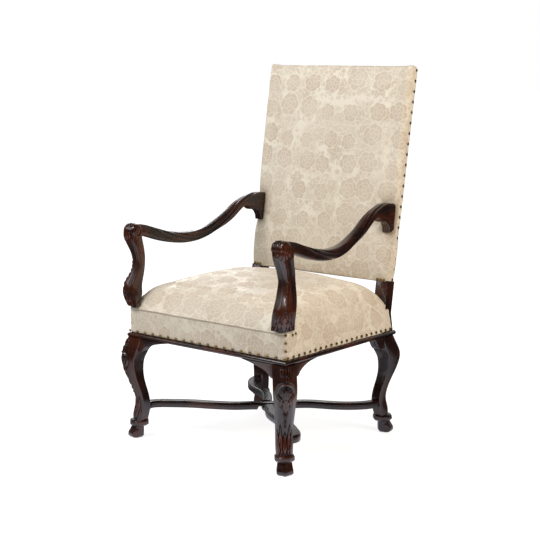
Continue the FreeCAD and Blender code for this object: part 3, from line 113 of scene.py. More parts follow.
# Stretchers: half diagonals as shares of (across, along) from the crossing, then half the moulded section
CROSSING_Y, LAP_LEVEL, LAP_GAP = 15, 97, 0.1
STRETCHER_LOW, STRETCHER_HIGH, STRETCHER_HALF = 86.0, 108.0, 15.0
STRETCHER_FRONT = [(0, 0), (0.085, 0.065), (0.17, 0.16), (0.275, 0.275), (0.40, 0.365), (0.505, 0.43),
                   (0.63, 0.50), (0.745, 0.58), (0.89, 0.705), (0.99, 0.81), (1.025, 0.90), (1, 1)]
STRETCHER_REAR = [(0, 0), (0.08, 0.10), (0.20, 0.25), (0.36, 0.405), (0.53, 0.49), (0.72, 0.585),
                  (0.885, 0.72), (0.975, 0.85), (1.0, 0.94), (1, 1)]
STRETCHER_MOULDING = [(-1.2, 0), (-0.3, 0.4), (0, 1.4), (0, 6), (0, 10), (0, 11.2), (-1.1, 12.1), (0, 13.0),
                      (0.2, 14.2), (0, 15.4), (-1.1, 16.3), (-0.4, 17.2), (-0.8, 18.6), (-2.2, 20.8),
                      (-4.0, 21.8), (-7, 22), (-13, 22)]
STRETCHER_QUIRKS = (12.1, 16.3)

# Seat: share of the depth, then crown, shoulder and roundness. Back: share of the height, then crown
SEAT_LEAN, SEAT_SHOULDER, SEAT_CROWN = 13, 80, 94
SEAT_ROWS = [(0.00, 0.04, 0.99, 0.92), (0.03, 0.25, 1.02, 0.94), (0.10, 0.62, 1.05, 0.97),
             (0.20, 0.80, 1.00, 0.97), (0.30, 0.89, 0.95, 0.97), (0.42, 0.95, 0.95, 0.97),
             (0.55, 0.98, 0.96, 0.97), (0.66, 1.00, 1.00, 0.94), (0.76, 1.00, 1.03, 0.91),
             (0.86, 0.88, 0.99, 0.84), (0.93, 0.64, 0.90, 0.76), (0.97, 0.42, 0.80, 0.64),
             (1.00, 0.15, 0.69, 0.50)]
BACK_ROWS = [(0, 0.35), (0.03, 0.60), (0.10, 0.80), (0.22, 0.92), (0.36, 0.98), (0.5, 1), (0.64, 0.98),
             (0.78, 0.92), (0.90, 0.80), (0.97, 0.60), (1, 0.35)]
PANEL_INSET, PIPING_RADIUS = 4.4, 3.2
FILLING = {"quality": 5, "mass": 0.25, "use_pressure": True, "tension_stiffness": 18,
           "compression_stiffness": 12, "shear_stiffness": 8, "bending_stiffness": 1.2, "pin_stiffness": 1.0}
FILL_FRAMES = 20

# Nails, in metres: dome as (share of the head's radius, height over the cloth)
SEAT_NAILS = ("seat_nails_front", "seat_nails_left", "seat_nails_right", "seat_nails_corner")
BACK_NAILS = ("back_nails_left", "back_nails_right", "back_nails_lower")
SHANK_RADIUS, SHANK_REACH, HEAD_SEAT = 0.00085, 0.0125, 0.013
CORNER_SHIFTS = {False: np.array([-0.0004, 0.0080, 0]), True: np.array([0.0004, 0.0035, 0])}
BACK_SIDE_SHIFT = np.array([0, -0.004, 0])
NAIL_DOME = [(0.93, -0.0002), (1, 0.0001), (1, 0.0004), (0.94, 0.00085), (0.82, 0.00155), (0.66, 0.00222),
             (0.46, 0.0028), (0.24, 0.00312), (0.08, 0.0032)]

# Damask: rings as (petals, centre, size, turn) in cells, leaves as (turn, start, length, width) in metres
ROSE_RINGS = [(6, 0.225, 0.180, 0.0), (5, 0.125, 0.125, 0.5), (3, 0.045, 0.070, 0.2)]
SPRAY_LEAVES = [(0, 0.001, 0.040, 0.0115), (58, 0.001, 0.032, 0.0096), (-56, 0.001, 0.035, 0.0100),
                (118, 0.003, 0.023, 0.0070), (-122, 0.002, 0.026, 0.0074), (180, 0.004, 0.019, 0.0056)]
SPRIG_LEAVES = [(0, 0.001, 0.0155, 0.0042), (52, 0.001, 0.0125, 0.0036), (-52, 0.001, 0.0125, 0.0036),
                (180, 0.001, 0.0100, 0.0030)]
LEAF_TEETH, LEAF_VEINS = 230.0, 200.0  # per metre

# Lamps: name, place, width, height, share of the key light, target and tint
LAMPS = [("key", (-0.6, -2.0, 2.9), 1.5, 1.1, 1.0, (0, 0.15, 0.7), (1, 0.98, 0.95)),
         ("window", (-2.2, -1.7, 1.75), 1.3, 1.0, 0.16, (0, 0.2, 0.8), (0.93, 0.96, 1)),
         ("rim", (-2.0, 1.7, 1.7), 1.5, 0.8, 0.26, (0, 0, 0.55), (0.95, 0.97, 1)),
         ("fill", (2.6, 0.2, 1.5), 1.4, 1.4, 0.68, (0, 0, 0.55), (1, 0.87, 0.72))]


# Settings that a user would change

class WoodSettings(bpy.types.PropertyGroup):
    stain: bpy.props.FloatVectorProperty(name="Stain", description="Dark body colour of the walnut",
                                         subtype="COLOR", size=3, min=0, max=1,
                                         default=(0.0095, 0.0042, 0.0036))
    glow: bpy.props.FloatVectorProperty(name="Glow", description="Red-brown where the stain is thin",
                                        subtype="COLOR", size=3, min=0, max=1, default=(0.085, 0.020, 0.008))
    polish: bpy.props.FloatProperty(name="Polish", description="How glossy the varnish is", min=0, max=1,
                                    subtype="FACTOR", default=0.75)
    relief: bpy.props.FloatProperty(name="Carving depth", description="Scale of every carved relief",
                                    min=0, max=2, default=1.0)


class ClothSettings(bpy.types.PropertyGroup):
    ground: bpy.props.FloatVectorProperty(name="Ground", description="Satin ground of the damask",
                                          subtype="COLOR", size=3, min=0, max=1, default=(0.79, 0.73, 0.615))
    figure: bpy.props.FloatVectorProperty(name="Figure", description="Woven figure of the damask",
                                          subtype="COLOR", size=3, min=0, max=1, default=(0.62, 0.52, 0.41))
    fullness: bpy.props.FloatProperty(name="Fullness", description="Pressure that fills seat and back",
                                      min=0, max=10, default=4)
    repeat: bpy.props.FloatProperty(name="Figure size", description="Width of one large blossom's cell",
                                    subtype="DISTANCE", min=0.02, max=0.3, default=0.088)


class BrassSettings(bpy.types.PropertyGroup):
    colour: bpy.props.FloatVectorProperty(name="Brass", description="Colour of the nail heads",
                                          subtype="COLOR", size=3, min=0, max=1,
                                          default=(0.36, 0.23, 0.075))
    diameter: bpy.props.FloatProperty(name="Head", description="Diameter of a nail head", subtype="DISTANCE",
                                      min=0.004, max=0.02, default=0.0098)


class StageSettings(bpy.types.PropertyGroup):
    key: bpy.props.FloatProperty(name="Key light", description="Power of the lamp over the front",
                                 subtype="POWER", min=0, max=1000, default=68)
    sky: bpy.props.FloatProperty(name="Sky", description="Strength of the plain surround", min=0, max=2,
                                 default=0.22)
    room: bpy.props.FloatProperty(name="Room", description="How bright the room behind the camera mirrors",
                                  min=0, max=1, subtype="FACTOR", default=0.04)
    paper: bpy.props.FloatProperty(name="Paper", description="How bright the backdrop mirrors in the varnish",
                                   min=0, max=1, subtype="FACTOR", default=0.50)
    floor: bpy.props.FloatProperty(name="Floor", description="Own glow of the pale floor to the camera",
                                   min=0, max=2, default=0.80)


SETTINGS = {"armchair_wood": WoodSettings, "armchair_cloth": ClothSettings, "armchair_brass": BrassSettings,
            "armchair_stage": StageSettings}


# Numbers

def put(points):
    """Millimetres in the seat's frame to metres in the row's frame."""
    points = np.asarray(points, float) / 1000
    return points + np.array([0, ROW_SHIFT, 0])


def unput(points):
    """Metres in the row's frame to millimetres in the seat's frame."""
    return (np.asarray(points) - np.array([0, ROW_SHIFT, 0])) * 1000


def side_x(y, inset):
    """Half the seat frame's width at a depth, less an inset square to the side rail."""
    return FRONT_WIDTH / 2 - TAPER * (y - FRONT_Y) - inset * math.hypot(1, TAPER)


def back_half_width(height):
    """Half the back's width at a height above its foot."""
    return (BACK_WIDTH + BACK_FLARE * np.clip(height / BACK_HEIGHT, 0, 1)) / 2


def smooth_through(xs, rows):
    """A natural cubic spline through rows of numbers, as a function of one array."""
    xs, rows = np.asarray(xs, float), np.asarray(rows, float)
    n = len(xs)
    step = np.diff(xs)
    a = np.eye(n)
    b = np.zeros_like(rows)
    for i in range(1, n - 1):
        a[i, i - 1:i + 2] = step[i - 1], 2 * (step[i - 1] + step[i]), step[i]
        b[i] = 6 * ((rows[i + 1] - rows[i]) / step[i] - (rows[i] - rows[i - 1]) / step[i - 1])
    bend = np.linalg.solve(a, b)

    def at(x):
        x = np.clip(np.asarray(x, float), xs[0], xs[-1])
        i = np.clip(np.searchsorted(xs, x) - 1, 0, n - 2)
        h, t = step[i][:, None], (x - xs[i])[:, None]
        slope = (rows[i + 1] - rows[i]) / h - h * (2 * bend[i] + bend[i + 1]) / 6
        return rows[i] + t * (slope + t * (bend[i] / 2 + t * (bend[i + 1] - bend[i]) / (6 * h)))
    return at


def bump(distance, width):
    """1 at no distance, falling off like a bell."""
    return np.exp(-(distance / width) ** 2)


def rise(x, low, high):
    """0 below low, 1 above high, smooth between."""
    t = np.clip((x - low) / (high - low), 0, 1)
    return t * t * (3 - 2 * t)


def window(x, low, high, soft):
    """1 between low and high, 0 beyond, smooth over soft on both sides."""
    return rise(x, low - soft, low + soft) * (1 - rise(x, high - soft, high + soft))


def smoothed(values, count):
    """Numbers in a row, each averaged with its neighbours over a window of an odd count."""
    kernel = np.hanning(count)
    return np.convolve(np.pad(values, count // 2, mode="edge"), kernel / kernel.sum(), mode="valid")


def arc_lengths(points):
    """Distance along a line in two dimensions to each of its points."""
    return np.concatenate([[0], np.cumsum(np.hypot(*np.diff(points, axis=0).T))])


def parabola(a, middle, b, count):
    """Points of the parabola through three points, without the last one."""
    t = np.linspace(0, 1, count, endpoint=False)[:, None]
    a, middle, b = map(np.array, (a, middle, b))
    control = 2 * middle - (a + b) / 2
    return (1 - t) ** 2 * a + 2 * t * (1 - t) * control + t * t * b


def leaf(q, z, base, tip, half_width, lobes=0, cut=1.0):
    """A carved leaf on a flat plan: raised body with a midrib, inside a cut outline."""
    base, tip = np.asarray(base, float), np.asarray(tip, float)
    length = math.hypot(*(tip - base))
    along = (tip - base) / length
    t = ((q - base[0]) * along[0] + (z - base[1]) * along[1]) / length
    n = (z - base[1]) * along[0] - (q - base[0]) * along[1]
    inside = np.clip(t, 0, 1)
    half = half_width * np.sin(np.pi * inside ** 0.8) ** 0.75
    veins = bump(n, 0.13 * half_width) * 0.5
    if lobes:
        half = half * (0.84 + 0.16 * np.cos(2 * np.pi * lobes * inside))
        veins = veins + 0.25 * np.clip(np.cos(2 * np.pi * lobes * inside + np.pi), 0, 1) * (np.abs(n) > 0)
    edge = np.abs(n) - half
    body = np.clip(-edge / (0.55 * half_width), 0, 1)
    body = np.sin(body * np.pi / 2) * window(t, 0, 1, 0.03)
    outline = bump(edge, 0.75) * window(t, -0.04, 1.04, 0.04)
    return body * (1 - veins), outline * cut


def carve(q, z, leaves, height=1.3, depth=1.2):
    """Height of several leaves together, in millimetres."""
    body, lines = np.zeros_like(q), np.zeros_like(q)
    for item in leaves:
        b, o = leaf(q, z, *item)
        lines = np.maximum(lines * (1 - b), o * (1 - body))
        body = np.maximum(body, b)
    return body * height - lines * depth


# Meshes

def new_object(name, mesh):
    obj = bpy.data.objects.new(name, mesh)
    bpy.context.collection.objects.link(obj)
    return obj


def mesh_from(name, points, faces, relief=None):
    """A smooth mesh that keeps its carving's relief as a point attribute."""
    mesh = bpy.data.meshes.new(name)
    mesh.from_pydata([tuple(p) for p in points], [], [tuple(int(i) for i in f) for f in faces])
    mesh.shade_smooth()
    values = np.zeros(len(points)) if relief is None else np.asarray(relief, float)
    mesh.attributes.new("relief", "FLOAT", "POINT").data.foreach_set("value", values.astype(np.float32))
    return mesh


def tube(points, relief=None, closed_ends=True):
    """Points of shape (rings, columns, 3) to (points, faces, relief) of a closed skin."""
    rings, columns = points.shape[:2]
    flat = points.reshape(-1, 3)
    level = np.zeros((rings, columns)) if relief is None else relief
    index = np.arange(rings * columns).reshape(rings, columns)
    nxt = np.roll(index, -1, axis=1)
    faces = np.stack([index[:-1], nxt[:-1], nxt[1:], index[1:]], axis=-1).reshape(-1, 4).tolist()
    level = level.reshape(-1)
    if closed_ends:
        ends = np.stack([points[0].mean(0), points[-1].mean(0)])
        first, last = len(flat), len(flat) + 1
        flat = np.vstack([flat, ends])
        level = np.append(level, [0, 0])
        faces += [[int(nxt[0, j]), int(index[0, j]), first] for j in range(columns)]
        faces += [[int(index[-1, j]), int(nxt[-1, j]), last] for j in range(columns)]
    return flat, faces, level


def gather(*skins):
    """Several skins, each (points, faces, relief), as one."""
    points, faces, relief = [], [], []
    for p, f, r in skins:
        base = sum(len(x) for x in points)
        points.append(np.asarray(p, float))
        faces += [[i + base for i in face] for face in f]
        relief.append(np.asarray(r, float))
    return np.vstack(points), faces, np.concatenate(relief)


def cad_piece(node, soften, keep_above=None, keep_below=None):
    """A softened copy of a frame node as (points, faces, relief), cut at a height in metres."""
    bm = bmesh.new()
    bm.from_mesh(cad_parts[node].data)
    bmesh.ops.remove_doubles(bm, verts=bm.verts, dist=2e-6)
    for height, upper in ((keep_above, True), (keep_below, False)):
        if height is not None:
            cut = bmesh.ops.bisect_plane(bm, geom=bm.verts[:] + bm.edges[:] + bm.faces[:], dist=1e-7,
                                         plane_co=(0, 0, height), plane_no=(0, 0, 1), clear_inner=upper,
                                         clear_outer=not upper)
            rim = [e for e in cut["geom_cut"] if isinstance(e, bmesh.types.BMEdge)]
            bmesh.ops.holes_fill(bm, edges=rim, sides=0)
    bmesh.ops.dissolve_limit(bm, angle_limit=math.radians(1.5), verts=bm.verts, edges=bm.edges)
    sharp = [e for e in bm.edges if len(e.link_faces) == 2 and e.calc_face_angle(0) > math.radians(28)]
    bmesh.ops.bevel(bm, geom=sharp, offset=soften, offset_type="OFFSET", segments=2, profile=0.5,
                    affect="EDGES", clamp_overlap=True)
    bm.verts.ensure_lookup_table()
    points = np.array([v.co[:] for v in bm.verts])
    faces = [[v.index for v in f.verts] for f in bm.faces]
    bm.free()
    return points, faces, np.zeros(len(points))


def mirrored(skin):
    """The left-hand twin of a right-hand skin."""
    points, faces, relief = skin
    points = np.asarray(points, float) * np.array([-1, 1, 1])
    return points, [list(reversed(f)) for f in faces], relief


def finish_piece(name, skin, material, nodes, angle=None):
    """Makes the object, dresses it, and says what it stands for and rides on."""
    obj = new_object(name, mesh_from(name, *skin))
    if angle:
        obj.data.set_sharp_from_angle(angle=math.radians(angle))
    bm = bmesh.new()
    bm.from_mesh(obj.data)
    bmesh.ops.recalc_face_normals(bm, faces=bm.faces)
    bm.to_mesh(obj.data)
    bm.free()
    obj.data.materials.append(material)
    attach(obj, BODY)
    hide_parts(*nodes)
    return obj


def finish_pair(name, right, material, angle=None):
    """A right-hand skin and its mirror image as the pieces of two walnut nodes."""
    for side, skin in (("right", right), ("left", mirrored(right))):
        finish_piece("carved_" + name + "_" + side, skin, material, [name + "_" + side], angle)


# Materials

class Nodes:
    """Short calls for building a node tree."""

    def __init__(self, tree):
        self.tree = tree

    def feed(self, node, inputs):
        """Links sockets to a node's inputs, and sets those that get plain values."""
        for key, value in dict(inputs).items():
            if isinstance(value, bpy.types.NodeSocket):
                self.tree.links.new(value, node.inputs[key])
            else:
                node.inputs[key].default_value = value

    def add(self, kind, inputs=(), **props):
        node = self.tree.nodes.new(kind)
        for key, value in props.items():
            setattr(node, key, value)
        self.feed(node, inputs)
        return node

    def math(self, operation, a, b=0.0, c=0.0):
        return self.add("ShaderNodeMath", {0: a, 1: b, 2: c}, operation=operation).outputs[0]

    def chain(self, operation, value, *others):
        """One operation with several values in turn."""
        for other in others:
            value = self.math(operation, value, other)
        return value

    def product(self, *values):
        return self.chain("MULTIPLY", *values)

    def most(self, *values):
        return self.chain("MAXIMUM", *values)

    def less(self, a, b):
        return self.math("SUBTRACT", a, b)

    def scale_shift(self, value, factor, start):
        return self.math("MULTIPLY_ADD", value, factor, start)

    def total(self, *pairs, start=0.0):
        """Sum of (value, weight) pairs."""
        for value, weight in pairs:
            start = self.scale_shift(value, weight, start)
        return start

    def vector(self, operation, a, b=(0, 0, 0)):
        return self.add("ShaderNodeVectorMath", {0: a, 1: b}, operation=operation).outputs[0]

    def scaled(self, vector, factor):
        return self.add("ShaderNodeVectorMath", {0: vector, "Scale": factor}, operation="SCALE").outputs[0]

    def measure(self, operation, a, b=(0, 0, 0)):
        """The one number of a vector's length, a distance or a dot product."""
        return self.add("ShaderNodeVectorMath", {0: a, 1: b}, operation=operation).outputs["Value"]

    def turned(self, vector, angle):
        return self.add("ShaderNodeVectorRotate", {"Vector": vector, "Angle": angle},
                        rotation_type="Z_AXIS").outputs[0]

    def ramp(self, value, low, high):
        """0 at low to 1 at high, smooth."""
        return self.add("ShaderNodeMapRange", {"Value": value, "From Min": low, "From Max": high},
                        interpolation_type="SMOOTHSTEP").outputs[0]

    def mix(self, share, a, b):
        """Colour a turning into b."""
        node = self.add("ShaderNodeMix", {"Factor": share}, data_type="RGBA")
        for key, value in ((6, a), (7, b)):
            self.feed(node, {key: value if isinstance(value, bpy.types.NodeSocket) else (*value, 1)})
        return node.outputs[2]

    def noise(self, vector, scale, detail=3.0, roughness=0.5):
        return self.add("ShaderNodeTexNoise", {"Vector": vector, "Scale": scale, "Detail": detail,
                                               "Roughness": roughness}).outputs["Fac"]

    def wave(self, vector, scale, distortion, direction, inputs=()):
        """Parallel bands."""
        node = self.add("ShaderNodeTexWave", {"Vector": vector, "Scale": scale, "Distortion": distortion},
                        wave_type="BANDS", bands_direction=direction)
        self.feed(node, inputs)
        return node.outputs["Fac"]

    def place(self):
        """Object coordinates, in metres."""
        return self.add("ShaderNodeTexCoord").outputs["Object"]

    def attribute(self, name):
        return self.add("ShaderNodeAttribute", attribute_name=name).outputs["Fac"]

    def normal(self, height, strength):
        """Normal bent by a height in metres."""
        return self.add("ShaderNodeBump", {"Height": height, "Strength": strength,
                                           "Distance": 1.0}).outputs[0]


def blank_material(name):
    """A material with its node kit, its shader and its output, wired together."""
    material = bpy.data.materials.new(name)
    material.use_nodes = True
    tree = material.node_tree
    tree.nodes.clear()
    kit = Nodes(tree)
    shader = kit.add("ShaderNodeBsdfPrincipled")
    out = kit.add("ShaderNodeOutputMaterial", {0: shader.outputs[0]})
    return material, kit, shader, out


def walnut(name, grain):
    """Dark stained walnut under varnish, its grain along one axis."""
    wood = bpy.context.scene.armchair_wood
    material, kit, shader, _ = blank_material(name)
    place = kit.place()

    def lengthwise(along, across):
        """Coordinates drawn out along the grain."""
        return kit.vector("MULTIPLY", place, [along if axis == grain else across for axis in range(3)])

    warp = kit.noise(place, 6.0, 2.0)
    fibre = kit.noise(kit.vector("ADD", lengthwise(9.0, 150.0), warp), 1.0, 6.0, 0.62)
    broad = kit.noise(place, 9.0, 3.0, 0.55)
    relief = kit.attribute("relief")
    worn, hollow = kit.ramp(relief, 0.25, 1.2), kit.ramp(relief, -0.15, -1.0)
    thin = kit.total((kit.ramp(broad, 0.40, 0.72), 0.75), (kit.ramp(fibre, 0.42, 0.75), 0.35), (worn, 0.45))
    colour = kit.mix(kit.math("MINIMUM", thin, 1.0), tuple(wood.stain), tuple(wood.glow))
    # Painted shade: the carving's hollows and the stretcher's quirks are darkened towards black
    colour = kit.mix(kit.product(hollow, 0.85), colour, (0.006, 0.003, 0.003))
    smear = kit.noise(place, 38.0, 3.0, 0.6)
    lumps = kit.noise(place, 60.0, 2.0, 0.5)
    pores = kit.ramp(kit.noise(lengthwise(60.0, 900.0), 1.0, 2.0, 0.5), 0.30, 0.46)
    kit.feed(shader, {
        "Base Color": colour,
        "Roughness": kit.total((smear, 0.12), (hollow, 0.25), start=0.34 - 0.22 * wood.polish),
        "Coat Weight": 0.3,
        "Coat Roughness": 0.08,
        "Specular IOR Level": 0.45,
        "Normal": kit.normal(kit.total((lumps, 0.0004), (pores, 0.00005), (fibre, 0.00006)), 0.7),
    })
    return material


def leaf_group():
    """Mask and halo of one serrated, veined leaf along +X of its own vector, from 0 to Length."""
    group = bpy.data.node_groups.new("woven_leaf", "ShaderNodeTree")
    for label, kind in (("Vector", "NodeSocketVector"), ("Length", "NodeSocketFloat"),
                        ("Width", "NodeSocketFloat")):
        group.interface.new_socket(label, in_out="INPUT", socket_type=kind)
    for label in ("Mask", "Halo"):
        group.interface.new_socket(label, in_out="OUTPUT", socket_type="NodeSocketFloat")
    kit = Nodes(group)
    given = kit.add("NodeGroupInput").outputs
    vector, length, width = given[0], given[1], given[2]
    place = kit.add("ShaderNodeSeparateXYZ", {0: vector})
    x, off = place.outputs[0], kit.math("ABSOLUTE", place.outputs[1])
    t = kit.math("DIVIDE", x, length)
    inside = kit.math("MINIMUM", kit.most(t, 0.0), 1.0)
    half = kit.product(kit.math("SINE", kit.product(kit.math("POWER", inside, 0.75), math.pi)), width)
    teeth = kit.math("FRACT", kit.product(x, LEAF_TEETH))
    depth = kit.less(kit.product(half, kit.scale_shift(teeth, -0.26, 1.08)), off)
    body = kit.ramp(depth, 0.0, 0.0008)
    midrib = kit.ramp(off, 0.0003, 0.0009)
    slant = kit.product(kit.less(x, kit.product(off, 1.1)), LEAF_VEINS)
    veins = kit.ramp(kit.math("ABSOLUTE", kit.less(kit.math("FRACT", slant), 0.5)), 0.44, 0.40)
    mask = kit.product(body, midrib, kit.scale_shift(veins, 0.7, 0.3))
    halo = kit.product(kit.ramp(depth, -0.0022, -0.0010), kit.ramp(t, -0.04, 0.0), kit.ramp(t, 1.04, 1.0))
    kit.add("NodeGroupOutput", {0: mask, 1: halo})
    return group


def damask(name):
    """Ivory satin with a woven figure of roses, leaves, fruit and sprigs, on the UV map in metres."""
    cloth = bpy.context.scene.armchair_cloth
    material, kit, shader, _ = blank_material(name)
    uv = kit.add("ShaderNodeUVMap", uv_map="cloth").outputs[0]
    leaf_tree = leaf_group()

    def drift(scale, reach):
        """A slow wander that keeps the drawing from looking ruled."""
        cloud = kit.add("ShaderNodeTexNoise", {"Vector": uv, "Scale": scale, "Detail": 1.0}).outputs["Color"]
        return kit.scaled(kit.vector("SUBTRACT", cloud, (0.5, 0.5, 0.5)), reach)

    place = kit.vector("ADD", kit.vector("ADD", uv, drift(14.0, 0.012)), drift(42.0, 0.007))

    def cells(cell, spread, shift, low, high):
        """Local coordinates from each cell's centre, turned and sized at random, with a random number."""
        moved = kit.vector("ADD", place, shift)
        dots = kit.add("ShaderNodeTexVoronoi", {"Vector": moved, "Scale": 1.0 / cell, "Randomness": spread},
                       voronoi_dimensions="2D", feature="F1")
        chance = kit.add("ShaderNodeSeparateColor", {0: dots.outputs["Color"]}).outputs
        local = kit.vector("SUBTRACT", moved, dots.outputs["Position"])
        local = kit.turned(local, kit.product(chance[0], 2 * math.pi))
        factor = kit.math("DIVIDE", 1.0, kit.scale_shift(chance[1], high - low, low))
        return kit.scaled(local, factor), chance[2]

    def polar(local):
        parts = kit.add("ShaderNodeSeparateXYZ", {0: local}).outputs
        return kit.measure("LENGTH", local), kit.math("ARCTAN2", parts[1], parts[0])

    def petal_ring(radius, angle, count, centre, size, turn):
        """Depth inside the nearest of a ring of round petals, and distance from the fold between two."""
        share = kit.math("FRACT", kit.math("ADD", kit.product(angle, count / (2 * math.pi)), 10.0 + turn))
        folded = kit.product(kit.less(share, 0.5), 2 * math.pi / count)
        x = kit.less(kit.product(radius, kit.math("COSINE", folded)), centre)
        y = kit.product(radius, kit.math("SINE", folded))
        reach = kit.math("SQRT", kit.math("ADD", kit.product(x, x), kit.product(y, y)))
        side = kit.less(math.pi / count, kit.math("ABSOLUTE", folded))
        return kit.less(size, reach), kit.product(radius, kit.math("SINE", side))

    def leaves(local, items):
        """Mask and halo of several leaves about one centre."""
        mask, halo = 0.0, 0.0
        for turn, start, length, width in items:
            along = kit.vector("SUBTRACT", kit.turned(local, math.radians(turn)), (start, 0, 0))
            node = kit.add("ShaderNodeGroup", node_tree=leaf_tree)
            kit.feed(node, {"Vector": along, "Length": length, "Width": width})
            mask, halo = kit.most(node.outputs[0], mask), kit.most(node.outputs[1], halo)
        return mask, halo

    line, big = 0.0009, cloth.repeat
    local, _ = cells(big, 0.40, (0, 0, 0), 0.74, 1.12)
    radius, angle = polar(local)
    rings = [petal_ring(radius, angle, count, big * centre, big * size, turn)
             for count, centre, size, turn in ROSE_RINGS]
    rose = 0.0
    for number, (deep, fold) in enumerate(rings):
        petals = kit.product(kit.ramp(deep, 0.0, line), kit.ramp(fold, 0.0002, 0.0010))
        if number + 1 < len(rings):
            petals = kit.product(petals, kit.ramp(rings[number + 1][0], -line * 0.4, -line * 1.6))
        rose = kit.most(petals, rose)
    outer = rings[0][0]
    clear = kit.ramp(outer, -0.0012, -0.0022)

    local, _ = cells(big * 0.85, 0.5, (0.031, 0.052, 0), 0.8, 1.2)
    sprays, near = leaves(local, SPRAY_LEAVES)
    sprays = kit.product(sprays, clear)
    lit = kit.most(kit.ramp(outer, -0.0030, -0.0018), kit.product(near, clear))
    free = kit.less(1.0, near)
    local, other = cells(big * 0.38, 0.7, (0.011, 0.007, 0), 0.75, 1.2)
    radius, _ = polar(local)
    berry = kit.ramp(kit.less(0.0092, radius), 0.0, line)
    ring = kit.ramp(kit.math("ABSOLUTE", kit.less(radius, 0.0060)), 0.0003, 0.0010)
    some = kit.ramp(other, 0.52, 0.53)
    round_it = kit.product(kit.ramp(kit.less(0.0112, radius), 0.0, line), some)
    local, _ = cells(big * 0.30, 0.8, (0.043, 0.017, 0), 0.8, 1.25)
    sprigs, beside = leaves(local, SPRIG_LEAVES)
    wander = kit.add("ShaderNodeTexNoise", {"Vector": uv, "Scale": 20.0, "Detail": 0.6}).outputs["Fac"]
    vine = kit.ramp(kit.math("ABSOLUTE", kit.less(wander, 0.5)), 0.018, 0.008)

    small = kit.most(kit.product(sprigs, kit.less(1.0, round_it)), kit.product(berry, ring, some))
    lit = kit.most(lit, kit.product(kit.most(beside, round_it, vine), clear, free))
    figure = kit.most(rose, sprays, kit.product(small, clear, free))

    patch = kit.noise(uv, 7.0, 3.0, 0.55)
    open_cloth = kit.ramp(kit.noise(kit.vector("ADD", uv, (0.37, 0.11, 0)), 9.0, 2.0, 0.5), 0.47, 0.56)
    ground = kit.mix(kit.most(lit, open_cloth),
                     tuple(0.45 * g + 0.55 * f for g, f in zip(cloth.ground, cloth.figure)),
                     tuple(1.05 * g for g in cloth.ground))
    faded = kit.product(figure, kit.scale_shift(kit.ramp(patch, 0.3, 0.7), 0.35, 0.65))
    age = kit.noise(uv, 3.2, 4.0, 0.6)
    slub = kit.noise(kit.vector("MULTIPLY", uv, (60.0, 900.0, 1.0)), 1.0, 2.0, 0.5)
    colour = kit.mix(faded, ground, tuple(cloth.figure))
    colour = kit.mix(kit.product(kit.ramp(age, 0.42, 0.75), 0.22), colour, (0.66, 0.54, 0.38))
    # Painted shade: the cloth darkens towards brown in its creases, by the uprights and round the nails
    colour = kit.mix(kit.product(kit.attribute("painted_shade"), 0.75), colour, (0.30, 0.21, 0.12))
    colour = kit.mix(kit.product(kit.ramp(slub, 0.45, 0.8), 0.12), colour, (0.92, 0.88, 0.80))
    weft = kit.wave(uv, 420.0, 0.6, "Y", {"Detail": 1.0, "Detail Scale": 2.0})
    warp = kit.wave(uv, 520.0, 0.4, "X")
    threads = kit.total((weft, kit.scale_shift(figure, 0.5, 0.3)), (warp, 0.35))
    rumple = kit.noise(uv, 26.0, 3.0, 0.5)
    kit.feed(shader, {
        "Base Color": colour,
        "Roughness": kit.scale_shift(figure, 0.22, 0.40),
        "Specular IOR Level": 0.5,
        "Sheen Weight": 0.12,
        "Sheen Roughness": 0.4,
        "Normal": kit.normal(kit.total((threads, 0.00005), (figure, 0.00022), (rumple, 0.0010)), 0.55),
    })
    return material


def plain_cloth(name, colour, scale):
    """A plain woven cloth: hessian, webbing or lining."""
    material, kit, shader, _ = blank_material(name)
    place = kit.place()
    weave = kit.product(kit.wave(place, scale, 1.5, "X"), kit.wave(place, scale, 1.5, "Z"))
    cloud = kit.noise(place, 40.0, 4.0, 0.6)
    kit.feed(shader, {
        "Base Color": kit.mix(kit.total((weave, 0.4), (cloud, 0.6)), tuple(c * 0.65 for c in colour), colour),
        "Roughness": kit.scale_shift(cloud, 0.2, 0.75),
        "Normal": kit.normal(kit.product(weave, 0.0004), 0.6),
    })
    return material


def plain_wood(name, colour):
    """Unstained beech of the hidden frame."""
    material, kit, shader, _ = blank_material(name)
    fibre = kit.noise(kit.vector("MULTIPLY", kit.place(), (14.0, 120.0, 120.0)), 1.0, 5.0, 0.6)
    kit.feed(shader, {
        "Base Color": kit.mix(kit.ramp(fibre, 0.3, 0.7), tuple(c * 0.6 for c in colour), colour),
        "Roughness": kit.scale_shift(fibre, 0.2, 0.5),
        "Normal": kit.normal(kit.product(fibre, 0.0003), 0.5),
    })
    return material


def old_brass(name):
    """Antique brass, browned in patches."""
    brass = bpy.context.scene.armchair_brass
    material, kit, shader, _ = blank_material(name)
    place = kit.place()
    cloud, fine = kit.noise(place, 55.0, 3.0, 0.6), kit.noise(place, 420.0, 3.0, 0.6)
    tarnish = kit.total((kit.ramp(cloud, 0.35, 0.7), 0.5), (kit.ramp(fine, 0.4, 0.7), 0.35))
    kit.feed(shader, {
        "Base Color": kit.mix(tarnish, tuple(brass.colour), (0.10, 0.055, 0.02)),
        "Roughness": kit.scale_shift(tarnish, 0.25, 0.28),
        "Metallic": 0.9,
        "Normal": kit.normal(kit.product(fine, 0.00025), 0.5),
    })
    return material


def shared(name, make, *args):
    """One material by name, made the first time it is asked for."""
    found = bpy.data.materials.get(name)
    return found or make(name, *args)


def damask_material():
    return shared("ivory_damask", damask)


def walnut_up():
    return shared("walnut_upright", walnut, 2)


def walnut_along():
    return shared("walnut_lengthwise", walnut, 1)


def walnut_across():
    return shared("walnut_crosswise", walnut, 0)


def brass_material():
    return shared("antique_brass", old_brass)


# Legs

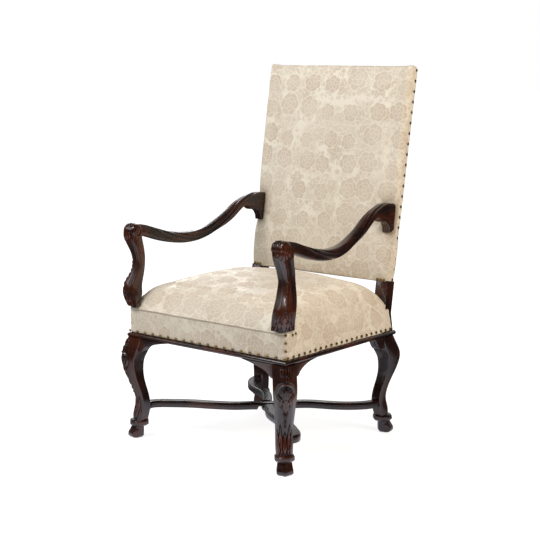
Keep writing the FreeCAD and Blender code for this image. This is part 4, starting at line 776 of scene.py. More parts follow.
def leg_outline(outer, inner, half):
    """One section of the shaft in (s, w), and how far round it each point is from the knee's middle line."""
    nose, nose_s = 0.20 * KNEE, outer - 0.05 * KNEE
    middle = inner + (outer - inner) * 0.47
    flat, back, swell = 0.05 * KNEE / 2, 0.07 * KNEE, 0.04 * KNEE

    def run(a, b, count):
        t = np.linspace(0, 1, count, endpoint=False)[:, None]
        return np.array(a) * (1 - t) + np.array(b) * t

    brow = ((outer + nose_s) / 2 + 0.018 * KNEE, nose * 0.55)
    bulge = ((nose_s + middle + flat) / 2 + swell, (nose + half) / 2 + swell)
    right = np.vstack([parabola((outer, 0), brow, (nose_s, nose), NOSE_POINTS),
                       parabola((nose_s, nose), bulge, (middle + flat, half), FLANK_POINTS),
                       run((middle + flat, half), (middle - flat, half), 4),
                       run((middle - flat, half), (inner, back), 18),
                       run((inner, back), (inner, 0), 4)])
    points = np.vstack([right, [[inner, 0]], right[:0:-1] * np.array([1, -1])])
    reach = arc_lengths(right)
    return points, np.concatenate([reach, [reach[-1] + 1], -reach[:0:-1]])


def knee_carving(q, z):
    """Carving on the front of a front leg, in millimetres of relief, over (round the knee, height)."""
    depth = bpy.context.scene.armchair_wood.relief
    shell_z, shell_radius = 254, 18.5
    drops = [((x, 321), (x, 300), 3.2) for x in (-16, -8, 0, 8, 16)]
    drops += [((0, 299), (0, 286), 2.6), ((0, 285), (0, 278), 2.0)]
    fan = [((0, 232), (24 * math.sin(a), shell_z + shell_radius * math.cos(a)), 6.0)
           for a in map(math.radians, (-78, 78, -40, 40, 0))]
    fall = [((13, 234), (19, 208), 6.0), ((-13, 234), (-19, 208), 6.0), ((0, 238), (0, 188), 14.0, 3, 1.8)]
    husks = [((-3, 180), (-8, 190), 2.6), ((3, 180), (8, 190), 2.6), ((0, 184), (0, 168), 3.4),
             ((0, 166), (0, 154), 2.8), ((0, 152), (0, 142), 2.2)]
    spray = [((-18, 60), (-26, 136), 6.2), ((18, 60), (26, 136), 6.2), ((-9, 60), (-15, 150), 6.8, 2, 1.6),
             ((9, 60), (15, 150), 6.8, 2, 1.6), ((0, 60), (0, 128), 6.2)]
    height = carve(q, z, drops + fall + husks + spray, 2.1, 2.4)
    angle = np.arctan2(z - shell_z, q / 1.3)
    distance = np.hypot(q / 1.3, z - shell_z)
    bowl = 1 - rise(distance, 19.5, 21.5)
    open_below = 1 - bump(np.abs(angle + math.pi / 2), 0.5)
    shell = carve(q, z, fan, 2.4, 1.8) * bowl
    ring = 2.2 * bump(distance - 24, 1.9) * open_below - 2.2 * bump(distance - 28, 1.4) * open_below
    height = height * rise(distance, 19, 25) + (shell - 1.8 * bowl) * window(z, 229, 290, 3) + ring
    ridge = 0.9 * bump(q, 2.2) * window(z, 62, 322, 4) * (1 - window(z, 216, 282, 4))
    return (height + ridge) * depth


def edge_lines(q, reach):
    """Two fine quirks beside the arris of a leg."""
    return -0.9 * bump(np.abs(q) - (reach - 4.6), 0.8) + 0.5 * bump(np.abs(q) - (reach - 2.0), 1.3)


def leg_skin(rear):
    """The right-hand shaft from collar to rail as a skin."""
    table = np.array(LEG_ROWS)
    profile = smooth_through(table[:, 0] * RAIL_BOTTOM, table[:, 1:] * KNEE)
    heights = np.arange(SHAFT_FOOT, SHAFT_HEAD, 1.0)
    corner = np.array([REAR_WIDTH / 2, REAR_Y] if rear else [FRONT_WIDTH / 2, FRONT_Y])
    backwards = 1 if rear else -1
    out = np.array([DIAGONAL, backwards * DIAGONAL])
    across = np.array([-backwards * DIAGONAL, DIAGONAL])
    depth = bpy.context.scene.armchair_wood.relief
    rings, relief = [], []
    for z, (outer, inner, half) in zip(heights, profile(heights)):
        points, q = leg_outline(outer, inner, half)
        tangent = np.roll(points, -1, axis=0) - np.roll(points, 1, axis=0)
        normal = np.stack([tangent[:, 1], -tangent[:, 0]], axis=1)
        normal /= np.maximum(np.hypot(*normal.T), 1e-9)[:, None]
        level = np.full(len(q), z)
        carving = 0.9 * bump(q, 2.2) * depth if rear else knee_carving(q, level)
        lift = (edge_lines(q, np.abs(q[NOSE_POINTS + FLANK_POINTS])) + carving) * rise(z, 55, 60)
        moved = points + normal * lift[:, None]
        share = (z / RAIL_BOTTOM - SPLAY_START) / (1 - SPLAY_START)
        bend = (1 + math.cos(math.pi * min(1, max(0, share)))) / 2
        splay, throw = (REAR_SPLAY * bend, REAR_THROW * bend) if rear else (0, 0)
        plan = corner + (moved[:, :1] + throw) * out + (moved[:, 1:] + splay) * across
        rings.append(np.column_stack([plan, level]))
        relief.append(lift)
    return tube(put(np.array(rings)), np.array(relief))


def make_legs():
    """Shafts as carved skins, hoof, collar and seat block from the frame's own solids."""
    for rear, name in ((False, "front_leg"), (True, "rear_post")):
        foot = cad_piece(name + "_right", 0.0014, keep_below=HOOF_CUT)
        head = cad_piece(name + "_right", 0.0012, keep_above=BLOCK_CUT)
        finish_pair(name, gather(leg_skin(rear), foot, head), walnut_up(), 38)


# Stretchers

def stretcher_skin(over):
    """The right-rear to left-front diagonal, moulded along its sides, as a skin."""
    low, high = STRETCHER_LOW, STRETCHER_HIGH
    ankle = min(LEG_ROWS, key=lambda r: abs(r[0] - LAP_LEVEL / RAIL_BOTTOM))
    reach = (ankle[1] + ankle[2]) / 2 * KNEE
    half = ankle[3] * KNEE * DIAGONAL
    front = np.array([FRONT_WIDTH / 2, FRONT_Y]) + np.array([DIAGONAL, -DIAGONAL]) * reach
    rear = np.array([REAR_WIDTH / 2, REAR_Y]) + np.array([DIAGONAL, DIAGONAL]) * (reach + REAR_THROW)
    rear = rear + np.array([-DIAGONAL, DIAGONAL]) * REAR_SPLAY
    bury = half / 2
    front_run = front[1] + half - bury - CROSSING_Y
    rear_run = rear[1] - half + bury - CROSSING_Y
    run = [(-x * front[0], CROSSING_Y + y * front_run) for x, y in STRETCHER_FRONT[:0:-1]]
    run += [(x * rear[0], CROSSING_Y + y * rear_run) for x, y in STRETCHER_REAR]
    run = np.array(run)
    chord = arc_lengths(run)
    at = np.linspace(0, chord[-1], 260)
    centre = smooth_through(chord, run)(at)
    along = np.gradient(centre, axis=0)
    along /= np.hypot(*along.T)[:, None]
    normal = np.stack([-along[:, 1], along[:, 0]], axis=1)
    right = [(STRETCHER_HALF + x, low + z) for x, z in STRETCHER_MOULDING]
    section = np.array(right + [(-x, z) for x, z in right[::-1]] + [(-6.0, low), (6.0, low)])
    rings = centre[:, None, :] + normal[:, None, :] * section[None, :, :1]
    distance = np.hypot(centre[:, 0], centre[:, 1] - CROSSING_Y)
    levels = np.repeat(section[None, :, 1], len(at), axis=0)
    crossing = (1 - rise(distance, 24, 26))[:, None]
    if over:
        levels = np.maximum(levels, low + (LAP_LEVEL + LAP_GAP - low) * crossing)
    else:
        levels = np.minimum(levels, high - (high - LAP_LEVEL + LAP_GAP) * crossing)
    points = np.concatenate([rings, levels[:, :, None]], axis=2)
    quirk = np.isin(np.round(section[:, 1] - low, 1), STRETCHER_QUIRKS) * -1.0
    return tube(put(points), np.repeat(quirk[None, :], len(at), axis=0))


def make_stretchers():
    """The two diagonals, halved over each other at the middle."""
    for over, name in ((True, "over"), (False, "under")):
        skin = stretcher_skin(over)
        finish_piece("moulded_stretcher_" + name, skin if over else mirrored(skin), walnut_along(),
                     ["stretcher_" + name], 40)


# Arms and supports

def arm_guides():
    """Underside and top of the right arm in (y, z), with x, ring by ring from the knuckle to the block."""
    table = np.array(ARM_ROWS)
    length = ARM_REAR_Y - ARM_FRONT_Y
    spine = np.column_stack([ARM_FRONT_Y + table[:, 0] * length, KNUCKLE_HEIGHT + table[:, 1] * ARM_SWEEP])
    tail = [(y, KNUCKLE_HEIGHT + sweep * ARM_SWEEP) for y, sweep in ((270.1, 1.06), (318, 0.96))]
    whole = np.vstack([spine, tail])
    curve = smooth_through(whole[:, 0], whole[:, 1:])
    y = spine[:, 0]
    slope = (curve(y + 0.5) - curve(y - 0.5))[:, 0]
    slope[0] = (curve(y[:1] + 1) - curve(y[:1]))[0, 0]
    lean = np.stack([-slope, np.ones_like(slope)], axis=1) / np.hypot(1, slope)[:, None]
    half = (table[:, 2] * ARM_DEPTH / 2)[:, None]
    low = np.vstack([spine - lean * half, [p for p, _ in ARM_TAIL]])
    high = np.vstack([spine + lean * half, [p for _, p in ARM_TAIL]])
    chord = arc_lengths((low + high) / 2)
    at = np.linspace(0, chord[-1], 470)
    both = smooth_through(chord, np.hstack([low, high]))(at)
    share = ((both[:, 0] + both[:, 2]) / 2 - ARM_FRONT_Y) / length
    span = smoothed(np.interp(share, *zip(*ARM_SPAN)) / 2, 41)
    return both[:, :2], both[:, 2:], span, at / chord[-1]


def arm_skin():
    """The right arm as one moulded skin, the arris swinging from its side to its underside and back."""
    low, high, span, share = arm_guides()
    depth = bpy.context.scene.armchair_wood.relief
    theta = np.linspace(0, 2 * math.pi, 132, endpoint=False)
    square = 3.2 + 2.6 * rise(share, 0.80, 0.92)
    centre = (low + high) / 2
    reach = np.hypot(*(high - low).T)[:, None] / 2
    lean = (high - low) / (2 * reach)
    c, s = np.cos(theta)[None, :], np.sin(theta)[None, :]
    power = (2 / square)[:, None]
    across = np.sign(c) * np.abs(c) ** power * ARM_WIDTH / 2
    up = np.sign(s) * np.abs(s) ** power * reach
    side = np.arctan2(up / reach, np.abs(across) / (ARM_WIDTH / 2))
    places, angles = zip(*ARM_ARRIS)
    arris = smoothed(np.interp(share, places, np.radians(angles)), 31)[:, None]
    away = (side - arris) * 20
    tail = rise(share, 0.76, 0.86)[:, None]
    ridge = 1.5 * bump(away, 1.2)
    hollow = -2.9 * bump(away - 6.5, 3.4) * (side < 1.5)
    second = 0.7 * bump(away - 12.5, 1.5) - 1.1 * bump(away - 17.5, 2.6)
    upper = rise(1.45 - side, 0, 0.25) * rise(share, 0.02, 0.08)[:, None]
    flat = -0.8 * bump(away + 9, 6.0)
    lower = -0.45 * bump(away + 5.5, 1.0) * rise(-away, 2, 4)
    cove = 0.8 * bump((side - math.radians(-30)) * 20, 1.6) - 1.4 * bump((side - math.radians(-38)) * 20, 1.2)
    lift = ridge + (hollow + second * (1 - tail)) * upper + flat + lower + cove * tail
    lift = lift * depth * (rise(share, 0.0, 0.03) * (1 - rise(share, 0.992, 1)))[:, None]
    outward_x, outward_u = c * (ARM_WIDTH / 2), s * reach
    size = np.hypot(outward_x, outward_u)
    across = across + lift * outward_x / size
    up = up + lift * outward_u / size
    yz = centre[:, None, :] + lean[:, None, :] * up[:, :, None]
    x = span[:, None] + across
    return tube(put(np.concatenate([x[:, :, None], yz], axis=2)), lift)


def knuckle_skin():
    """The scrolled hand-hold: a drum with leaves over it, a rosette inside and a lobed round end outside."""
    depth = bpy.context.scene.armchair_wood.relief
    radius, half, inner_round, outer_round = 20.5, 24.0, 3.5, 13.0
    quarter = math.pi / 2
    profile = [(-half, r) for r in np.linspace(0, radius - inner_round, 26)[1:]]
    profile += [(-half + inner_round * (1 - math.cos(t)), radius - inner_round + inner_round * math.sin(t))
                for t in np.linspace(0, quarter, 7)[1:]]
    profile += [(x, radius) for x in np.linspace(-half + inner_round, half - outer_round, 42)[1:]]
    profile += [(half - outer_round * (1 - math.sin(t)), radius - outer_round * (1 - math.cos(t)))
                for t in np.linspace(0, quarter, 22)[1:]]
    profile += [(half, r) for r in np.linspace(radius - outer_round, 0, 9)[1:-1]]
    profile = np.array(profile)
    tangent = np.gradient(profile, axis=0)
    tangent /= np.hypot(*tangent.T)[:, None]
    along_x, along_r = -tangent[:, 1][None, :], tangent[:, 0][None, :]
    x, r = profile[:, 0][None, :], profile[:, 1][None, :]
    a = np.linspace(0, 2 * math.pi, 170, endpoint=False)[:, None]

    petals = np.abs(np.cos(a * 2.5)) ** 0.7
    rim_of_petals = 1 - rise(r, 8.8 * (0.70 + 0.30 * petals), 9.9 * (0.74 + 0.26 * petals))
    rosette = 2.2 * rim_of_petals * (0.5 + 0.5 * petals) + 1.8 * bump(r, 3.0)
    coil = r - 12.6 - 2.2 * (a / (2 * math.pi))
    face = rosette + 1.5 * bump(coil - 2.6, 1.5) - 1.6 * bump(coil, 1.3)
    face = face * (1 - rise(x, -half + 0.3, -half + 1.4))

    shoulder = half - outer_round
    grid_x, grid_s = np.broadcast_arrays(x, (a - math.radians(20)) * radius)
    leaves = [((0, low), (side * out, high), width, *cuts) for side in (-1, 1)
              for low, out, high, width, *cuts in ((84, 15, 62, 6.0, 2), (70, 18, 44, 6.4, 2),
                                                   (52, 17, 27, 6.0, 2), (36, 13, 12, 5.0))]
    leaves += [((0, 92), (0, 8), 6.5, 4)]
    band = carve(grid_x, grid_s, leaves, 2.2, 1.9) * (1 - rise(x, shoulder - 4, shoulder + 3))
    bead = 0.9 * bump(x + half - 4.6, 1.2) - 1.0 * bump(x + half - 7.2, 1.0)
    wall = rise(x, -half + 3, -half + 6)

    level, aloft = -r * np.cos(a), r * np.sin(a)
    lobe = (level + 2) / 9.4
    lobes = 1.7 * np.abs(np.cos(math.pi * lobe)) ** 0.6 - 2.0 * bump(np.abs(lobe % 1 - 0.5), 0.10)
    under = 1 - rise(aloft, 6, 13)
    top = 1.6 * bump(np.hypot(level * 0.8, (x - half + 9) * 0.9), 9.0) * rise(aloft, 4, 11)
    outside = rise(x, shoulder - 3, shoulder + 4)
    lift = ((band + bead) * wall * (1 - outside) + outside * (lobes * under + top) + face) * depth

    radial, shift = r + lift * along_r, x + lift * along_x
    points = np.stack([ARM_SPAN[0][1] / 2 + shift, ARM_FRONT_Y - radial * np.cos(a),
                       KNUCKLE_HEIGHT + radial * np.sin(a)], axis=2)
    return tube(put(points.transpose(1, 0, 2)), lift.T)


def make_arms():
    finish_pair("arm", gather(arm_skin(), knuckle_skin()), walnut_along())


def support_ring(share, back, step, breadth, outer, inner):
    """One level of the right support in plan, and the way round from its nose, negative towards the front."""
    centre = np.array([(SUPPORT_SPAN - SUPPORT_LEAN * share) / 2 - step, SUPPORT_Y + back])
    across = np.array([DIAGONAL, DIAGONAL]) * breadth
    inward, outward = np.array([-DIAGONAL, DIAGONAL]) * inner, np.array([DIAGONAL, -DIAGONAL]) * outer
    count = 34
    runs = []
    for tip, side, reach, to_side in ((across, inward, inner, True), (-across, inward, inner, False),
                                      (-across, outward, outer, True), (across, outward, outer, False)):
        full = min(0.72, 0.54 + 0.8 * max(0, 0.92 - reach / breadth))
        start, end = (tip, side) if to_side else (side, tip)
        runs.append(parabola(start, tip / 2 + side * full, end, count))
    ring = centre + np.vstack(runs)
    steps = np.hypot(*(np.roll(ring, -1, axis=0) - ring).T)
    nose, back_end = 3 * count, 2 * count
    q = np.zeros(len(ring))
    ahead = np.cumsum(steps[nose:])
    q[nose + 1:] = ahead[:-1]
    q[:back_end] = ahead[-1] + np.concatenate([[0], np.cumsum(steps[:back_end - 1])])
    q[nose - 1:back_end - 1:-1] = -np.cumsum(steps[nose - 1:back_end - 1:-1])
    return ring, q, ahead[-1]


def support_skin():
    """The right arm's support: an S, broad across its carved outer front corner."""
    depth = bpy.context.scene.armchair_wood.relief
    table = np.array(SUPPORT_ROWS)
    share = np.linspace(0, 1, 260)
    values = smooth_through(table[:, 0], table[:, 1:] * SUPPORT_SCALE)(share)
    rings, lines, ends = zip(*(support_ring(s, *row) for s, row in zip(share, values)))
    ring, q = np.array(rings), np.array(lines)
    foot, head = SUPPORT_FOOT, SUPPORT_FOOT + SUPPORT_RISE
    z = np.broadcast_to((foot + share * SUPPORT_RISE)[:, None], q.shape)
    tangent = np.roll(ring, -1, axis=1) - np.roll(ring, 1, axis=1)
    normal = np.stack([tangent[..., 1], -tangent[..., 0]], axis=-1)
    normal /= np.maximum(np.linalg.norm(normal, axis=-1, keepdims=True), 1e-9)
    leaves = [((0, foot), (0, 488), 11.5, 3, 1.8), ((-15, foot), (-19, 472), 7.0, 2, 1.6),
              ((15, foot), (19, 472), 7.0, 2, 1.6), ((-28, foot), (-31, 456), 5.5),
              ((28, foot), (31, 456), 5.5)]
    leaves += [((0, low), (0, low - 12), 3.4) for low in (506, 519, 532, 545, 557, 568)]
    leaves += [((x, head), (x * 0.94, head - drop), 6.6)
               for x, drop in ((-26, 24), (-13, 30), (0, 34), (13, 30), (26, 24))]
    edge = np.array(ends)[:, None] - np.abs(q)
    frame_lines = 0.9 * bump(edge - 3.2, 2.0) - 1.9 * bump(edge - 7.5, 1.3) + 0.7 * bump(edge - 10.5, 1.6)
    hollow = -1.5 * bump(edge - 16, 4.5) * window(z, 492, 632, 10)
    ridge = 0.9 * bump(q, 2.4) * window(z, 572, 632, 6)
    lobes = -1.6 * bump(np.abs((q / 11.0) % 1 - 0.5), 0.10) * (1 - rise(z, 432, 438))
    lift = carve(q, z, leaves, 2.2, 2.0) + frame_lines * window(z, 440, 640, 8) + hollow + ridge + lobes
    lift = lift * rise(edge, 0.5, 2.0) * depth
    points = np.concatenate([ring + normal * lift[..., None], z[..., None]], axis=2)
    return tube(put(points), lift)


def make_supports():
    finish_pair("arm_support", support_skin(), walnut_up())


def make_rails():
    """Rails with their brackets, beads and the hidden frame, from the frame's own solids."""
    for names, material in ((("front_seat_rail", "rear_seat_rail", "bead_front"), walnut_across()),
                            (("side_seat_rail_left", "side_seat_rail_right", "bead_left", "bead_right"),
                             walnut_along())):
        for name in names:
            finish_piece("polished_" + name, cad_piece(name, 0.0009), material, [name], 35)
    beech = shared("beech", plain_wood, (0.60, 0.42, 0.25))
    for name in ("corner_block_front_left", "corner_block_front_right", "corner_block_rear_left",
                 "corner_block_rear_right", "back_top_rail", "back_bottom_rail"):
        dress(name, beech)


def dress(node, material):
    """Gives a frame node that stays a material of the scene's own."""
    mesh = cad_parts[node].data
    mesh.materials.clear()
    mesh.materials.append(material)


def make_lining():
    """Colours for the cloths under and inside the upholstery, which stay the frame's own."""
    for material, colour, scale, names in (
            ("black_lining", (0.035, 0.033, 0.032), 300.0, ["dust_cover"]),
            ("hessian", (0.50, 0.37, 0.21), 180.0, ["seat_hessian", "back_hessian"]),
            ("webbing", (0.55, 0.45, 0.31), 120.0, ["seat_webbing", "back_webbing"])):
        for name in names:
            dress(name, shared(material, plain_cloth, colour, scale))


# Cloth

def crowned_section(side_half, foot_half, skirt, shoulder, crown, round_share, counts):
    """Right half of a stuffed section in (across, up), from the skirt's foot to the crown's middle."""
    radius = round_share * (crown - shoulder)
    low, high = 0.0, math.pi / 3
    for _ in range(50):
        tilt = (low + high) / 2
        reach = radius * math.cos(tilt) + (side_half - radius * (1 - math.sin(tilt))) * math.tan(tilt / 2)
        low, high = (tilt, high) if reach < crown - shoulder else (low, tilt)
    turn = math.pi / 2 - tilt
    t = np.linspace(0, 1, counts[0], endpoint=False)
    skirt_run = np.column_stack([foot_half + (side_half - foot_half) * t, skirt + (shoulder - skirt) * t])
    t = np.linspace(0, turn, counts[1], endpoint=False)
    round_run = np.column_stack([side_half - radius + radius * np.cos(t), shoulder + radius * np.sin(t)])
    corner = (side_half - radius + radius * math.cos(turn), shoulder + radius * math.sin(turn))
    big = corner[0] / math.sin(tilt) if tilt > 1e-6 else 1e9
    t = np.linspace(tilt, 0, counts[2])
    crown_run = np.column_stack([big * np.sin(t), crown - big + big * np.cos(t)])
    return np.vstack([skirt_run, round_run, crown_run])


def closed_volume(sections):
    """A closed loft through right half sections of shape (stations, points, 3) and their mirror images."""
    left = sections[:, -2::-1] * np.array([-1, 1, 1])
    rings = np.concatenate([sections, left], axis=1)
    points, faces, _ = tube(rings, closed_ends=False)
    stations, columns = rings.shape[:2]
    faces.append(list(range(columns))[::-1])
    faces.append([(stations - 1) * columns + j for j in range(columns)])
    return points, faces


def select_only(obj):
    bpy.ops.object.select_all(action="DESELECT")
    bpy.context.view_layer.objects.active = obj
    obj.select_set(True)


def apply_modifier(obj, kind, **props):
    """Adds a modifier with these settings and applies it."""
    modifier = obj.modifiers.new(kind.lower(), kind)
    for key, value in props.items():
        setattr(modifier, key, value)
    bpy.ops.object.modifier_apply(modifier=modifier.name)


def fill_out(obj, held, cap, fullness):
    """Presses a closed cloth outwards from within, by at most cap, where it isn't held."""
    start, outward = vertex_array(obj.data), normal_array(obj.data)
    group = obj.vertex_groups.new(name="held")
    for level in range(11):
        chosen = np.nonzero(np.round(held * 10) == level)[0]
        if len(chosen):
            group.add(chosen.tolist(), level / 10, "REPLACE")
    cloth = obj.modifiers.new("fill", "CLOTH")
    for key, value in FILLING.items():
        setattr(cloth.settings, key, value)
    cloth.settings.uniform_pressure_force = fullness
    cloth.settings.vertex_group_mass = group.name
    cloth.settings.effector_weights.gravity = 0
    cloth.collision_settings.use_collision = False
    cloth.point_cache.frame_start, cloth.point_cache.frame_end = 1, FILL_FRAMES + 4
    scene = bpy.context.scene
    for number in range(1, FILL_FRAMES + 1):
        scene.frame_set(number)
    bpy.ops.object.modifier_apply(modifier=cloth.name)
    move = vertex_array(obj.data) - start
    move -= outward * np.minimum(0, (move * outward).sum(axis=1))[:, None]
    length = np.linalg.norm(move, axis=1)
    scale = np.minimum(1, cap / np.maximum(length, 1e-9))
    obj.data.vertices.foreach_set("co", (start + move * scale[:, None]).ravel())
    scene.frame_set(1)
    obj.vertex_groups.clear()


def voxel_cushion(name, sections, cap, pin):
    """Remeshes a closed loft, fills it while it is pinned where it is nailed, and subdivides it."""
    points, faces = closed_volume(put(np.array(sections)))
    mesh = bpy.data.meshes.new(name)
    mesh.from_pydata([tuple(p) for p in points], [], [tuple(f) for f in faces])
    obj = new_object(name, mesh)
    select_only(obj)
    apply_modifier(obj, "REMESH", mode="VOXEL", voxel_size=0.0055)
    fill_out(obj, pin(vertex_array(obj.data)), cap, bpy.context.scene.armchair_cloth.fullness)
    apply_modifier(obj, "SUBSURF", levels=1, render_levels=1)
    obj.data.shade_smooth()
    return obj


def vertex_array(mesh):
    points = np.empty(len(mesh.vertices) * 3)
    mesh.vertices.foreach_get("co", points)
    return points.reshape(-1, 3)


def normal_array(mesh):
    normals = np.empty(len(mesh.vertices) * 3)
    mesh.vertices.foreach_get("normal", normals)
    return normals.reshape(-1, 3)


def nail_places(*nodes):
    """Centre under the head and outward direction of each nail of some frame nodes."""
    places = []
    for node in nodes:
        bm = bmesh.new()
        bm.from_mesh(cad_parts[node].data)
        bmesh.ops.remove_doubles(bm, verts=bm.verts, dist=1e-6)
        seen = set()
        for vert in bm.verts:
            if vert in seen:
                continue
            stack, island = [vert], []
            seen.add(vert)
            while stack:
                one = stack.pop()
                island.append(one.co[:])
                for edge in one.link_edges:
                    other = edge.other_vert(one)
                    if other not in seen:
                        seen.add(other)
                        stack.append(other)
            cloud = np.array(island)
            spread = np.linalg.norm(cloud[:, None, :] - cloud[None, :, :], axis=2).max(axis=1)
            tip = cloud[int(np.argmax(spread))]
            head = cloud[np.linalg.norm(cloud - tip, axis=1) > SHANK_REACH]
            outward = head.mean(0) - tip
            outward /= np.linalg.norm(outward)
            places.append((tip + outward * HEAD_SEAT, outward))
        bm.free()
    return places


def dimple(points, places, depth, width=0.007):
    """Draws the cloth in round each nail."""
    for centre, outward in places:
        distance = np.linalg.norm(points - centre, axis=1)
        near = distance < width * 3
        pull = depth * np.exp(-(distance[near] / width) ** 2)
        points[near] -= outward * pull[:, None]
    return points


def nail_shade(points, places, strength, width):
    """Dirt that gathers round each nail."""
    return strength * sum(bump(np.linalg.norm(points - centre, axis=1), width) for centre, _ in places)


def write_cloth(obj, uv, painted_shade):
    """UV map in metres and the soiling of the creases."""
    mesh = obj.data
    layer = mesh.uv_layers.new(name="cloth")
    layer.data.foreach_set("uv", uv.astype(np.float32).ravel())
    mesh.attributes.new("painted_shade", "FLOAT", "POINT").data.foreach_set("value", painted_shade.astype(np.float32))


def loop_data(mesh):
    """Vertex number and face normal of every face corner."""
    vertex = np.empty(len(mesh.loops), int)
    mesh.loops.foreach_get("vertex_index", vertex)
    counts = np.empty(len(mesh.polygons), int)
    mesh.polygons.foreach_get("loop_total", counts)
    normals = np.empty(len(mesh.polygons) * 3)
    mesh.polygons.foreach_get("normal", normals)
    face = np.repeat(np.arange(len(counts)), counts)
    return vertex, normals.reshape(-1, 3)[face]


def cut_round(obj, cutters):
    """Takes the uprights out of a stuffed form."""
    select_only(obj)
    for cutter in cutters:
        apply_modifier(obj, "BOOLEAN", operation="DIFFERENCE", solver="EXACT", object=cutter)
        bpy.data.objects.remove(cutter)


def box_cutter(sign, x, y, z, move=np.array):
    """A box on one side of the chair, from ranges in a frame that move turns into the seat's."""
    corners = [(x[i] * sign, y[j], height) for height in z for i, j in ((0, 0), (1, 0), (1, 1), (0, 1))]
    faces = [(3, 2, 1, 0), (4, 5, 6, 7), (0, 1, 5, 4), (1, 2, 6, 5), (2, 3, 7, 6), (3, 0, 4, 7)]
    return new_object("gap", mesh_from("gap", put(move(corners)), faces))


def back_points(points):
    """From the back's own frame (x, depth, height) to the seat's frame, in millimetres."""
    points = np.asarray(points, float)
    c, s = math.cos(BACK_RAKE), math.sin(BACK_RAKE)
    y = BACK_SET_BACK + points[..., 1] * c + points[..., 2] * s
    z = BACK_FOOT - points[..., 1] * s + points[..., 2] * c
    return np.stack([points[..., 0], y, z], axis=-1)


def to_back(points):
    """Row metres to the back's own frame in millimetres."""
    p = unput(points)
    c, s = math.cos(BACK_RAKE), math.sin(BACK_RAKE)
    dy, dz = p[:, 1] - BACK_SET_BACK, p[:, 2] - BACK_FOOT
    return np.column_stack([p[:, 0], dy * c - dz * s, dy * s + dz * c])


def along_section(sections, points):
    """Arc length from a crowned form's middle line to each point (x, station, up), by its nearest station."""
    length = np.empty(len(points))
    station = np.abs(points[:, [1]] - sections[None, :, 0, 1]).argmin(axis=1)
    for number in np.unique(station):
        chosen = np.nonzero(station == number)[0]
        line = sections[number][::-1][:, [0, 2]]
        a, span = line[:-1], np.diff(line, axis=0)
        size = np.maximum(np.hypot(*span.T), 1e-9)
        reach = np.concatenate([[0], np.cumsum(size)])
        p = np.column_stack([np.abs(points[chosen, 0]), points[chosen, 2]])
        share = np.clip(((p[:, None] - a[None]) * span[None]).sum(2) / size[None] ** 2, 0, 1)
        away = np.linalg.norm(a[None] + span[None] * share[..., None] - p[:, None], axis=2)
        best = away.argmin(axis=1)
        length[chosen] = reach[best] + size[best] * share[np.arange(len(chosen)), best]
    return np.sign(points[:, 0]) * length / 1000


def finish_cushion(obj, nodes):
    obj.data.materials.append(damask_material())
    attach(obj, BODY)
    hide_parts(*nodes)


def move_vertices(obj, points):
    obj.data.vertices.foreach_set("co", points.ravel())
    obj.data.update()


def seat_sections():
    """Right half sections of the seat, front to rear, in millimetres."""
    rows = np.array(SEAT_ROWS)
    blend = smooth_through(rows[:, 0], rows[:, 1:])
    stations = np.unique(np.concatenate([np.linspace(0, 0.12, 16), np.linspace(0.12, 0.86, 44),
                                         np.linspace(0.86, 1, 22)]))
    sections = []
    for share, (crown, shoulder, roundness) in zip(stations, blend(stations)):
        y = COVER_FRONT_Y + share * (REAR_Y - COVER_FRONT_Y)
        foot = side_x(y, COVER_INSET)
        half = crowned_section(foot - SEAT_LEAN * share, foot, COVER_BOTTOM,
                               COVER_BOTTOM + shoulder * SEAT_SHOULDER, EDGE_HEIGHT + crown * SEAT_CROWN,
                               roundness, (14, 16, 36))
        sections.append(np.column_stack([half[:, 0], np.full(len(half), y), half[:, 1]]))
    return np.array(sections)


